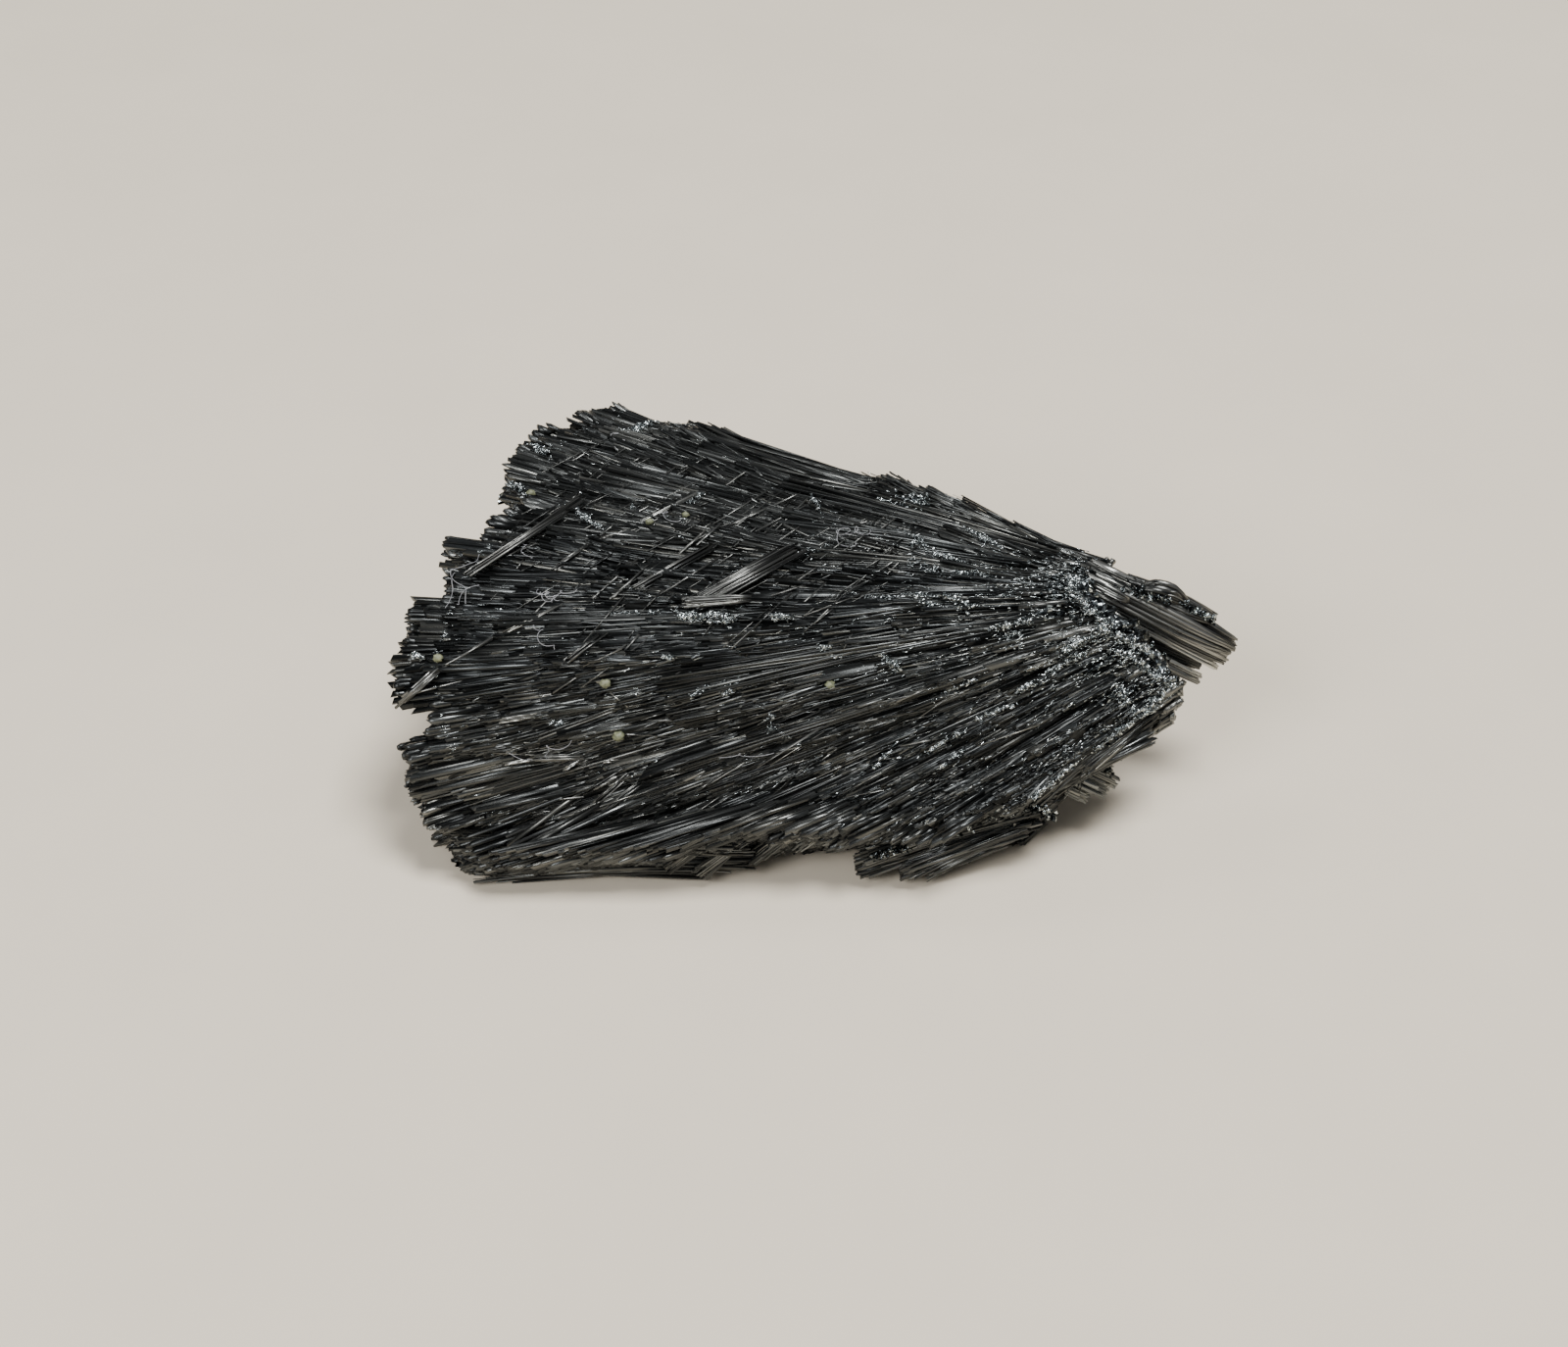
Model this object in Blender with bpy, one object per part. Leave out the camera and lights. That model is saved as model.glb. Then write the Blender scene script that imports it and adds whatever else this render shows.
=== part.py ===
"""Zinkenite: one loose spray of needle crystals that grew together from a common root.

The spray is a single solid. Its needles are shown here as coarse bundles: flat-faced, tapered prisms that
radiate from a short root line, in layers from a level top to a flat foot, over a wedge that fills the spray.
A block of parallel crystals ends it behind the root, a lobe and a stub of crystals hang under its front rim,
and a few bundles lie across the top. Boolean modifiers join them into one closed body.

Frame: +X from the ragged tips towards the root block, +Y to the back, +Z up. The origin is the middle of the
foot of the spray's box. Lengths are in millimetres until the mesh is written.
"""

import math
import random

import bmesh
import bpy
from mathutils import Matrix, Vector

MM = 0.001
NAME = "zinkenite_fan"
COLLECTION = "zinkenite"

# The box that the spray fills, and the root point of the top needles inside it.
LENGTH = 52.0
DEPTH = 32.5
HEIGHT = 15.0
APEX_X = 16.0
APEX_Y = -4.25


# Rays of the top surface, from the back edge round to the front rim: root, then tip, from the apex.
TOP_RAYS = (
    ((2.1, 4.5, 13.0), (-30.4, 20.5, 13.3)),
    ((1.2, 2.8, 13.3), (-35.0, 16.9, 13.6)),
    ((0.5, 1.6, 13.6), (-37.6, 9.6, 13.6)),
    ((0.0, 0.6, 13.8), (-40.4, 2.0, 13.2)),
    ((0.3, -0.4, 13.8), (-42.0, -3.9, 11.6)),
    ((1.0, -1.2, 13.4), (-41.4, -7.0, 8.4)),
    ((1.8, -1.8, 13.0), (-39.0, -9.6, 3.8)),
    ((2.8, -2.2, 12.4), (-27.0, -10.6, 3.0)),
    ((3.8, -2.6, 11.6), (-18.0, -11.2, 3.8)),
    ((5.0, -3.2, 10.6), (-11.5, -11.2, 4.4)),
    ((6.2, -3.8, 9.6), (-3.4, -9.9, 6.0)),
)
# Rays of the underside, at the same stations round the fan.
BASE_RAYS = (
    ((2.0, 2.5, 7.0), (-27.5, 17.6, -0.2)),
    ((1.0, 2.0, 6.5), (-32.0, 14.0, -0.4)),
    ((0.5, 1.2, 6.0), (-36.0, 7.0, -0.6)),
    ((0.0, 0.6, 5.5), (-38.0, 1.0, -0.6)),
    ((0.3, 0.0, 5.5), (-39.0, -3.5, -0.6)),
    ((1.0, -0.6, 5.5), (-40.2, -7.8, -0.2)),
    ((1.8, -1.2, 5.5), (-38.6, -9.8, -0.2)),
    ((2.6, -2.0, 5.6), (-26.0, -9.6, -0.1)),
    ((3.4, -2.8, 5.8), (-17.5, -9.0, 0.8)),
    ((4.6, -3.4, 6.2), (-9.0, -8.6, 0.8)),
    ((5.6, -4.0, 6.8), (-3.4, -8.4, 3.0)),
)

# Layers of bundles: how far down from the top ray to the base ray, how many bundles, their half depth, and
# where along the ray they start.
LAYERS = (
    (0.00, 48, 0.75, 0.08),
    (0.28, 30, 1.10, 0.25),
    (0.60, 26, 1.30, 0.30),
    (0.93, 26, 1.10, 0.06),
)
# How much the bundles of a layer differ: where they start and end along the ray, how far their tips stand out
# of the layer, their half width as a share of their spacing, and their half depth as a share of the layer's.
START_SPREAD = 0.06
REACH = (0.925, 1.01)
TIP_LIFT = (-0.35, 0.25)
WIDTH_SHARE = (0.52, 0.75)
DEPTH_SHARE = (0.84, 1.16)
LEAST_HALF_WIDTH = 0.5
ROOT_HALF_WIDTH = 0.45
ROOT_HALF_DEPTH = 0.5
STATION_SHIFT = 0.25
STATION_STEP = 0.02
END_SLANT = 0.7
SIDES = (5, 6)

# Raised ledges on the top surface, where an upper layer is broken off short: station round the fan from 0 at
# the back edge to 1 at the front rim, start and end along the ray, half width and rise.
LEDGES = (
    (0.025, 0.08, 0.42, 0.75, 0.9),
    (0.060, 0.05, 0.56, 0.80, 1.0),
    (0.105, 0.06, 0.66, 0.80, 0.7),
    (0.150, 0.10, 0.52, 0.70, 0.9),
    (0.215, 0.06, 0.44, 0.65, 0.8),
    (0.300, 0.06, 0.40, 0.65, 0.6),
    (0.345, 0.30, 0.86, 0.75, 0.5),
    (0.430, 0.05, 0.62, 0.70, 0.7),
    (0.500, 0.22, 0.93, 0.80, 0.5),
    (0.560, 0.05, 0.70, 0.70, 0.6),
    (0.640, 0.10, 0.84, 0.75, 0.6),
    (0.720, 0.08, 0.90, 0.75, 0.6),
    (0.800, 0.05, 0.88, 0.75, 0.6),
    (0.880, 0.05, 0.94, 0.75, 0.6),
    (0.955, 0.00, 0.92, 0.70, 0.7),
)
LEDGE_START = (0.40, 0.35)
LEDGE_HALF_DEPTH = 1.1

# Rows of crystals below are start, end, half width and half depth. Bundles that lie across the top:
CROSSERS = (
    ((-37.4, 1.0, 13.9), (-30.9, 8.6, 14.1), 0.60, 0.6),
    ((-21.4, -1.6, 13.7), (-16.2, 4.2, 14.1), 0.70, 0.6),
    ((-39.4, -7.2, 10.6), (-35.4, -3.3, 12.4), 0.50, 0.6),
    ((-24.6, -0.6, 13.9), (-20.6, -1.9, 13.7), 0.55, 0.6),
)
# The block of parallel crystals behind the root.
ROOT_BLOCK = (
    ((0.4, 3.2, 12.7), (8.1, 1.6, 10.9), 0.80, 0.9),
    ((0.0, 2.2, 12.4), (9.3, 0.2, 9.9), 0.90, 1.2),
    ((0.2, 1.2, 11.6), (9.9, -0.4, 8.9), 0.80, 1.2),
    ((0.0, 2.6, 10.2), (8.8, 1.2, 8.2), 1.00, 1.4),
    ((0.4, 0.8, 9.8), (9.2, -0.4, 7.6), 0.85, 1.0),
    ((0.8, 0.4, 9.0), (8.0, -0.2, 6.9), 0.80, 0.8),
    ((0.6, 1.8, 8.6), (7.8, 1.2, 7.0), 0.90, 1.0),
)
# Crystals of the front lobe, which hang under the rim down to the foot, and of the stub beside it.
FRONT_LOBE = (
    ((-0.6, -8.4, 5.0), (-13.4, -11.0, 2.2), 0.75, 1.0),
    ((-1.2, -8.6, 4.2), (-14.0, -10.9, 0.9), 0.75, 1.1),
    ((-1.6, -8.9, 3.4), (-11.4, -11.4, 0.8), 0.75, 1.0),
    ((-1.9, -9.2, 2.9), (-8.8, -11.2, 0.4), 0.75, 0.9),
    ((-2.4, -9.3, 2.4), (-6.4, -10.8, 0.6), 0.70, 0.8),
    ((0.4, -6.6, 4.6), (-7.4, -9.4, 0.2), 0.90, 1.3),
    ((1.0, -5.6, 6.2), (-7.6, -8.4, 0.8), 1.10, 1.4),
    ((-4.4, -4.3, 3.9), (2.4, -5.3, 3.2), 0.60, 0.6),
)
# Broken crystals under the rim, which make its steep side.
RIM_SIDE = (
    ((6.3, -3.6, 8.7), (-2.8, -9.4, 5.2), 0.70, 1.0),
    ((5.7, -4.6, 8.0), (0.6, -7.8, 6.4), 0.60, 0.7),
    ((5.2, -4.2, 7.2), (-1.6, -8.2, 4.6), 0.80, 0.9),
    ((4.4, -5.0, 6.8), (-0.4, -7.6, 4.8), 0.60, 0.7),
)
# The crushed band over the root line: how many knobs, and their size and place.
KNOBS = 14
KNOB_HALF_WIDTH = 0.55
KNOB_NARROWING = (0.6, 1.0)
KNOB_LENGTH = 1.9
KNOB_SLOPE = 0.3
KNOB_RISE = 0.25
KNOB_SPREAD = 0.04

# The wedge inside: how much of each ray it fills, and how far down from the top rays it starts and ends.
CORE_REACH = 0.86
CORE_TOP = 0.08
CORE_BASE = 0.76

SEED = 5

COLOUR = (0.035, 0.036, 0.040, 1.0)
ROUGHNESS = 0.42
METALLIC = 0.75


def gap_after(index):
    """The distance from one top tip to the next."""
    return (Vector(TOP_RAYS[index + 1][1]) - Vector(TOP_RAYS[index][1])).length


def ray(station, down):
    """Root and tip of a ray: station runs round the tips from 0 to 1, down from the top to the underside."""
    last = len(TOP_RAYS) - 2
    part = min(max(station, 0.0), 1.0) * sum(gap_after(index) for index in range(last + 1))
    index = 0
    while index < last and part > gap_after(index):
        part -= gap_after(index)
        index += 1
    part = min(part / gap_after(index), 1.0)
    ends = []
    for end in (0, 1):
        top = Vector(TOP_RAYS[index][end]).lerp(Vector(TOP_RAYS[index + 1][end]), part)
        base = Vector(BASE_RAYS[index][end]).lerp(Vector(BASE_RAYS[index + 1][end]), part)
        ends.append(top.lerp(base, down))
    return ends


def ray_frame(station, down):
    """Root, tip, and the direction across the ray at its tip, level with the layer."""
    root, tip = ray(station, down)
    _, before = ray(station - STATION_STEP, down)
    _, after = ray(station + STATION_STEP, down)
    return root, tip, after - before


def add_crystal(bundles, ends, across, widths, depths, rng):
    """Adds a closed tapered prism of its own: half widths and half depths at both ends, and a slanted cut."""
    start, end = ends
    along = end - start
    length = along.length
    along.normalize()
    normal = along.cross(across).normalized()
    across = normal.cross(along)
    slant = rng.uniform(-END_SLANT, END_SLANT)
    shape = bmesh.new()
    bmesh.ops.create_cone(
        shape, cap_ends=True, segments=rng.choice(SIDES), radius1=1.0, radius2=1.0, depth=length
    )
    for vert in shape.verts:
        part = vert.co.z / length + 0.5
        vert.co.x *= widths[0] + (widths[1] - widths[0]) * part
        vert.co.y *= depths[0] + (depths[1] - depths[0]) * part
        vert.co.z += slant * vert.co.x * (2.0 * part - 1.0)
    basis = Matrix((across, normal, along)).transposed().to_4x4()
    basis.translation = (start + end) / 2.0
    bmesh.ops.transform(shape, matrix=basis, verts=shape.verts)
    object_from(shape, "bundle", bundles)


def add_layers(bundles, rng):
    """The radiating bundles, layer under layer, each with its own reach, width and broken end."""
    for down, count, half_depth, first in LAYERS:
        for index in range(count):
            station = (index + 0.5 + rng.uniform(-STATION_SHIFT, STATION_SHIFT)) / count
            root, tip, across = ray_frame(station, down)
            lift = Vector((0.0, 0.0, rng.uniform(*TIP_LIFT)))
            start = root.lerp(tip, first + rng.uniform(0.0, START_SPREAD))
            end = root.lerp(tip, rng.uniform(*REACH)) + lift
            spacing = across.length / (2.0 * STATION_STEP * count)
            half_width = max(spacing * rng.uniform(*WIDTH_SHARE), LEAST_HALF_WIDTH)
            depths = (ROOT_HALF_DEPTH, half_depth * rng.uniform(*DEPTH_SHARE))
            add_crystal(bundles, (start, end), across, (ROOT_HALF_WIDTH, half_width), depths, rng)


def add_ledges(bundles, rng):
    """Raised bundles on the top surface that end short of the tips."""
    for station, first, last, half_width, rise in LEDGES:
        root, tip, across = ray_frame(station, 0.0)
        ends = (root.lerp(tip, first), root.lerp(tip, last) + Vector((0.0, 0.0, rise)))
        widths = (LEDGE_START[0], half_width)
        depths = (LEDGE_START[1], LEDGE_HALF_DEPTH)
        add_crystal(bundles, ends, across, widths, depths, rng)


def add_knobs(bundles, rng):
    """Short crystals that lie crushed along the root line, at any angle."""
    for index in range(KNOBS):
        root, tip = ray((index + 1) / KNOBS, 0.0)
        turn = rng.uniform(0.0, math.pi)
        slope = rng.uniform(-KNOB_SLOPE, KNOB_SLOPE)
        half = Vector((math.cos(turn), math.sin(turn), slope)) * KNOB_LENGTH / 2.0
        middle = root.lerp(tip, rng.uniform(0.0, KNOB_SPREAD)) + Vector((0.0, 0.0, KNOB_RISE))
        across = half.cross(Vector((0.0, 0.0, 1.0)))
        widths = (KNOB_HALF_WIDTH, KNOB_HALF_WIDTH * rng.uniform(*KNOB_NARROWING))
        add_crystal(bundles, (middle - half, middle + half), across, widths, widths, rng)


def add_rows(bundles, rng):
    """The crossing bundles, the root block, the front lobe, the stub and the rim's steep side."""
    for start, end, half_width, half_depth in CROSSERS + ROOT_BLOCK + FRONT_LOBE + RIM_SIDE:
        ends = (Vector(start), Vector(end))
        across = (ends[1] - ends[0]).cross(Vector((0.0, 0.0, 1.0)))
        add_crystal(bundles, ends, across, (half_width,) * 2, (half_depth,) * 2, rng)


def object_from(shape, name, collection):
    """A mesh object of the shape, scaled to metres and moved from the apex to the frame's origin."""
    bmesh.ops.recalc_face_normals(shape, faces=shape.faces)
    place = Matrix.Scale(MM, 4) @ Matrix.Translation((APEX_X, APEX_Y, 0.0))
    bmesh.ops.transform(shape, matrix=place, verts=shape.verts)
    mesh = bpy.data.meshes.new(name)
    shape.to_mesh(mesh)
    shape.free()
    made = bpy.data.objects.new(name, mesh)
    collection.objects.link(made)
    return made


def make_core(collection):
    """The wedge that fills the spray under its outer bundles: the hull of shortened rays."""
    shape = bmesh.new()
    stations = len(TOP_RAYS)
    for index in range(stations):
        station = index / (stations - 1)
        for down in (CORE_TOP, CORE_BASE):
            root, tip = ray(station, down)
            shape.verts.new(root)
            shape.verts.new(root.lerp(tip, CORE_REACH))
    hull = bmesh.ops.convex_hull(shape, input=shape.verts)
    bmesh.ops.delete(shape, geom=hull["geom_interior"], context="VERTS")
    return object_from(shape, NAME, collection)


def make_bundles(bundles):
    """Every bundle of the spray as an object of its own, overlapping its neighbours."""
    rng = random.Random(SEED)
    add_layers(bundles, rng)
    add_ledges(bundles, rng)
    add_knobs(bundles, rng)
    add_rows(bundles, rng)
    for bundle in bundles.objects:
        bundle.hide_render = True
        bundle.display_type = "WIRE"


def make_box(collection):
    """The box whose faces break off the longest tips and cut the foot flat."""
    shape = bmesh.new()
    size = Matrix.Diagonal((LENGTH, DEPTH, HEIGHT, 1.0))
    place = Matrix.Translation((-APEX_X, -APEX_Y, HEIGHT / 2.0)) @ size
    bmesh.ops.create_cube(shape, size=1.0, matrix=place)
    box = object_from(shape, "break_box", collection)
    box.hide_render = True
    box.display_type = "WIRE"


def add_boolean(target, collection, operation):
    """A Boolean modifier that joins a collection's bundles to the target, or breaks it off at their box."""
    modifier = target.modifiers.new(operation.lower(), "BOOLEAN")
    modifier.operation = operation
    modifier.solver = "MANIFOLD"
    modifier.operand_type = "COLLECTION"
    modifier.collection = collection


def island_of(first):
    """The faces that hang together with the first one."""
    found = {first}
    waiting = [first]
    while waiting:
        for edge in waiting.pop().edges:
            for face in edge.link_faces:
                if face not in found:
                    found.add(face)
                    waiting.append(face)
    return found


def fill_pockets(target):
    """Applies the Booleans and fills each pocket that is closed in between bundles, by dropping its walls."""
    evaluated = target.evaluated_get(bpy.context.evaluated_depsgraph_get())
    mesh = bpy.data.meshes.new_from_object(evaluated)
    target.modifiers.clear()
    shape = bmesh.new()
    shape.from_mesh(mesh)
    left = set(shape.faces)
    islands = []
    while left:
        islands.append(island_of(next(iter(left))))
        left -= islands[-1]
    islands.sort(key=len)
    walls = [face for island in islands[:-1] for face in island]
    bmesh.ops.delete(shape, geom=walls, context="FACES")
    shape.to_mesh(mesh)
    shape.free()
    target.data = mesh


def make_material():
    """Dark lead-grey sulphosalt with a dull metallic shine."""
    material = bpy.data.materials.new("sulphosalt")
    material.use_nodes = True
    shader = material.node_tree.nodes["Principled BSDF"]
    shader.inputs["Base Color"].default_value = COLOUR
    shader.inputs["Roughness"].default_value = ROUGHNESS
    shader.inputs["Metallic"].default_value = METALLIC
    return material


def main():
    """Clears the scene and builds the spray."""
    for old in list(bpy.data.objects):
        bpy.data.objects.remove(old)
    parts, bundles, cutters = (bpy.data.collections.new(name) for name in (COLLECTION, "bundles", "cutters"))
    for collection in (parts, bundles, cutters):
        bpy.context.scene.collection.children.link(collection)
    fan = make_core(parts)
    make_bundles(bundles)
    make_box(cutters)
    add_boolean(fan, bundles, "UNION")
    add_boolean(fan, cutters, "INTERSECT")
    fill_pockets(fan)
    fan.data.materials.append(make_material())


main()
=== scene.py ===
"""Zinkenite: the looks of a spray of needle crystals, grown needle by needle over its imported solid.

The spray radiates from a short root line. A Fan holds that field: a closed skin of rays, met by turn (round
the skin), reach (along a ray, 0 at the root and 1 at the tip) and lift (out of the uneven skin). A station
is a turn of the top alone: 0 at the back edge and 1 at the front rim. Every needle is a thin prism whose
centreline is worked out in that field with numpy. Needles stand in sheaves, sheaves lie over each other like
shingles, and chips, bright broken faces, grains and lint lie on them.

Frame: +X from the ragged tips towards the root block, +Y to the back, +Z up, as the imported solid. Lengths
are in millimetres from the apex, where the top needles start, until a mesh is written.
"""

from __future__ import annotations

import logging
import math
from dataclasses import dataclass, fields, replace
from enum import Enum

import bpy
import numpy as np
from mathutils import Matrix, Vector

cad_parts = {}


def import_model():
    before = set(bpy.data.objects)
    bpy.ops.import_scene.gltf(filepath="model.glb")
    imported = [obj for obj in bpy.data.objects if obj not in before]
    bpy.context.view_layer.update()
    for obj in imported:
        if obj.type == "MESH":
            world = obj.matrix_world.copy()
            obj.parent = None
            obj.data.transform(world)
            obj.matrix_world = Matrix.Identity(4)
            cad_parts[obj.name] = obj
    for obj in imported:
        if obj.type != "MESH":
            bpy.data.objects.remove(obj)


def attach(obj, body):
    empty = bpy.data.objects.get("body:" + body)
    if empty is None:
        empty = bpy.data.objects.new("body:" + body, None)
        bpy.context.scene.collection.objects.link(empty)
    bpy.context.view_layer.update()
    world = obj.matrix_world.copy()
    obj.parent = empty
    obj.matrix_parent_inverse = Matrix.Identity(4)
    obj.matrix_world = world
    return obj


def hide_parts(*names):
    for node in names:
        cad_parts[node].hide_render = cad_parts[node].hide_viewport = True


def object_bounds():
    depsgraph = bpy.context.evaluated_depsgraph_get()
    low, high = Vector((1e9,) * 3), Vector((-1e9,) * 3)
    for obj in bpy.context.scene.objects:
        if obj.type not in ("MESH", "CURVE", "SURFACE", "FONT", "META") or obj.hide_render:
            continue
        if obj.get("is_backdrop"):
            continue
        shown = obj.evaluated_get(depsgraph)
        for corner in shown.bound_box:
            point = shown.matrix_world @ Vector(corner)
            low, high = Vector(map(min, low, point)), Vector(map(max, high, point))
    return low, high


Range = tuple[float, float]
Point = tuple[float, float, float]
Colour = tuple[float, float, float]
Ray = tuple[Point, Point]
Row = tuple[Point, Point, float, float]
Array = np.ndarray
Random = np.random.Generator
Socket = bpy.types.NodeSocket
Inputs = dict[str | int, object]

LOG = logging.getLogger("zinkenite")
MM = 0.001
FULL = 2 * np.pi
NODE = "zinkenite_fan"
BODY = "root"

# The apex, in millimetres from the middle of the foot of the spray's box.
APEX = np.array((16.0, -4.25, 0.0))
# The least that a needle measures, how far one may stand out past the tips as a share of its ray, and how
# far from a blunt tip it starts to narrow.
SHORTEST = 0.8
OVERSHOOT = 0.004
NOSE_LENGTH = 0.3


class Slot(Enum):
    """The record's material slots."""

    SULPHOSALT = "sulphosalt"
    DUST = "dust"
    LINT = "lint"


# --- The field of rays ---


def unit(vectors: Array) -> Array:
    """The same directions, each of length 1 along the last axis."""
    return vectors / np.maximum(np.linalg.norm(vectors, axis=-1, keepdims=True), 1e-9)


def between(first: Array, last: Array, share: Array) -> Array:
    """Goes from first, where share is 0, to last, where it is 1."""
    return first * (1 - share) + last * share


@dataclass
class Fan:
    """The skin of the spray: a closed loop of rays, top side first and then the underside back again."""

    # The root and the tip of each ray of the top and of the underside, from the back edge to the front rim.
    top_rays: tuple[Ray, ...] = (
        ((2.1, 4.5, 13.0), (-30.4, 20.5, 13.3)), ((1.2, 2.8, 13.3), (-35.0, 16.9, 13.6)),
        ((0.5, 1.6, 13.6), (-37.6, 9.6, 13.6)), ((0.0, 0.6, 13.8), (-40.4, 2.0, 13.2)),
        ((0.3, -0.4, 13.8), (-42.0, -3.9, 11.6)), ((1.0, -1.2, 13.4), (-41.4, -7.0, 8.4)),
        ((1.8, -1.8, 13.0), (-39.0, -9.6, 3.8)), ((2.8, -2.2, 12.4), (-27.0, -10.6, 3.0)),
        ((3.8, -2.6, 11.6), (-18.0, -11.2, 3.8)), ((5.0, -3.2, 10.6), (-11.5, -11.2, 4.4)),
        ((6.2, -3.8, 9.6), (-3.4, -9.9, 6.0)),
    )
    base_rays: tuple[Ray, ...] = (
        ((2.0, 2.5, 7.0), (-27.5, 17.6, -0.2)), ((1.0, 2.0, 6.5), (-32.0, 14.0, -0.4)),
        ((0.5, 1.2, 6.0), (-36.0, 7.0, -0.6)), ((0.0, 0.6, 5.5), (-38.0, 1.0, -0.6)),
        ((0.3, 0.0, 5.5), (-39.0, -3.5, -0.6)), ((1.0, -0.6, 5.5), (-40.2, -7.8, -0.2)),
        ((1.8, -1.2, 5.5), (-38.8, -10.3, -0.2)), ((2.6, -2.0, 5.6), (-26.0, -9.9, -0.1)),
        ((3.4, -2.8, 5.8), (-17.5, -9.0, 0.8)), ((4.6, -3.4, 6.2), (-9.0, -8.6, 0.8)),
        ((5.6, -4.0, 6.8), (-3.4, -8.4, 3.0)),
    )
    # Station, and how far the tips reach there; how far they reach off the top; and what is added to both.
    tip_profile: tuple[Range, ...] = (
        (0.0, 1.0), (0.048, 0.985), (0.072, 1.01), (0.098, 0.985), (0.138, 1.0), (0.15, 0.975), (0.18, 0.955),
        (0.203, 0.985), (0.228, 1.005), (0.25, 1.0), (0.263, 0.965), (0.29, 0.975), (0.307, 0.96),
        (0.316, 1.012), (0.335, 1.01), (0.352, 0.975), (0.372, 1.012), (0.386, 0.955), (0.4, 1.012),
        (0.418, 0.955), (0.435, 0.945), (0.452, 0.96), (0.468, 1.005), (0.5, 1.018), (0.54, 1.025),
        (0.59, 1.02), (0.62, 0.995), (0.67, 1.005), (0.74, 0.975), (0.8, 1.0), (0.86, 0.975), (1.0, 1.0),
    )
    under_limit: float = 0.985
    tip_gain: float = 0.006
    # The tips end in columns: how many round the skin, and how much of its ray the shortest falls back by.
    columns_round: int = 92
    notch: float = 0.056
    seed: int = 5
    # The skin's slow waves: how many round it and along a ray, their height and their phase.
    waves: tuple[tuple[float, ...], ...] = (
        (31, 0.6, 0.14, 0.4), (53, 1.7, 0.12, 2.1), (87, 2.3, 0.10, 4.0), (17, 3.1, 0.12, 5.2)
    )
    # Its hollows and swells: station, reach, half width in both, and height.
    hollows: tuple[tuple[float, ...], ...] = (
        (0.3, 0.4, 0.022, 0.11, -1.4), (0.232, 0.6, 0.02, 0.09, -0.9), (0.262, 0.78, 0.018, 0.08, -0.8),
        (0.12, 0.76, 0.02, 0.06, -0.7), (0.085, 0.62, 0.016, 0.08, -0.5), (0.5, 0.86, 0.02, 0.07, -0.8),
        (0.47, 0.93, 0.012, 0.04, -0.8), (0.42, 0.48, 0.012, 0.12, -0.6), (0.39, 0.84, 0.01, 0.06, -0.6),
        (0.54, 0.62, 0.016, 0.08, -0.5), (0.66, 0.42, 0.022, 0.16, -0.5), (0.7, 0.76, 0.02, 0.1, -0.7),
        (0.86, 0.4, 0.022, 0.2, -0.55), (0.006, 0.31, 0.035, 0.1, 0.75), (0.048, 0.365, 0.014, 0.075, -0.6),
        (0.0, 0.1, 0.05, 0.1, -0.35), (0.0, 0.43, 0.04, 0.05, 0.55), (0.0, 0.54, 0.045, 0.07, -0.2),
        (0.0, 0.79, 0.04, 0.06, 0.95), (0.0, 0.965, 0.04, 0.045, 0.75), (0.15, 0.36, 0.018, 0.14, 0.45),
        (0.255, 0.3, 0.012, 0.14, 0.45), (0.56, 0.36, 0.02, 0.16, 0.45), (1.0, 0.4, 0.045, 0.7, -0.6),
    )

    def __post_init__(self) -> None:
        """Measures the loop by the way round its tips, and draws the columns of tips and their notches."""
        top, base = np.array(self.top_rays), np.array(self.base_rays)[::-1]
        self.loop = np.concatenate([top, base, top[:1]])
        root_steps, tip_steps = np.linalg.norm(np.diff(self.loop, axis=0), axis=-1).T
        self.around = float(tip_steps.sum())
        self.root_share = float(root_steps.sum()) / self.around
        self.marks = np.append(0.0, np.cumsum(tip_steps)) / self.around
        self.top_end, self.base_start, self.base_end = map(float, self.marks[[len(top) - 1, len(top), -2]])
        rng, count = np.random.default_rng(self.seed), self.columns_round
        self.columns = (np.arange(count) + rng.uniform(0, 0.8, count)) / count
        self.notches = -self.notch * rng.uniform(0, 1, count + 1) ** 1.6

    def ray(self, turn: Array) -> tuple[Array, Array]:
        """Finds the root and the tip of the ray at each turn, straight between neighbours in the loop.

        Args:
            turn: Places round the skin, in turns.

        Returns:
            The roots and the tips, each with x, y, z on a last axis.
        """
        at = np.mod(turn, 1.0)
        root, tip = (
            np.stack([np.interp(at, self.marks, self.loop[:, end, axis]) for axis in range(3)], axis=-1)
            for end in (0, 1)
        )
        return root, tip

    def surface(self, turn: Array, reach: Array) -> Array:
        """The smooth skin: root + (tip - root) * reach."""
        root, tip = self.ray(turn)
        return root + (tip - root) * reach[..., None]

    def outward(self, turn: Array, reach: Array) -> Array:
        """The outward normal: the cross product of the way along the ray and the way round the skin.

        Args:
            turn: Places round the skin, in turns.
            reach: Places along the ray, 0 to 1.

        Returns:
            Directions of length 1.
        """
        step, held = 0.006, np.maximum(reach, 0.1)
        root, tip = self.ray(turn)
        return unit(np.cross(tip - root, self.surface(turn + step, held) - self.surface(turn - step, held)))

    def relief(self, turn: Array, reach: Array) -> Array:
        """Height of the uneven skin over the smooth one.

        It is a sum of size * sin(2 pi (times * turn + along * reach) + phase), fainter at the root, and of
        rise * exp(-(distance in half widths) squared) for each hollow.

        Args:
            turn: Places round the skin, in turns.
            reach: Places along the ray, 0 to 1.

        Returns:
            Heights in millimetres.
        """
        height = sum(
            size * np.sin(FULL * (times * turn + along * reach) + phase)
            for times, along, size, phase in self.waves
        )
        height = height * np.clip((reach - 0.02) / 0.12, 0.2, 1)
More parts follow.
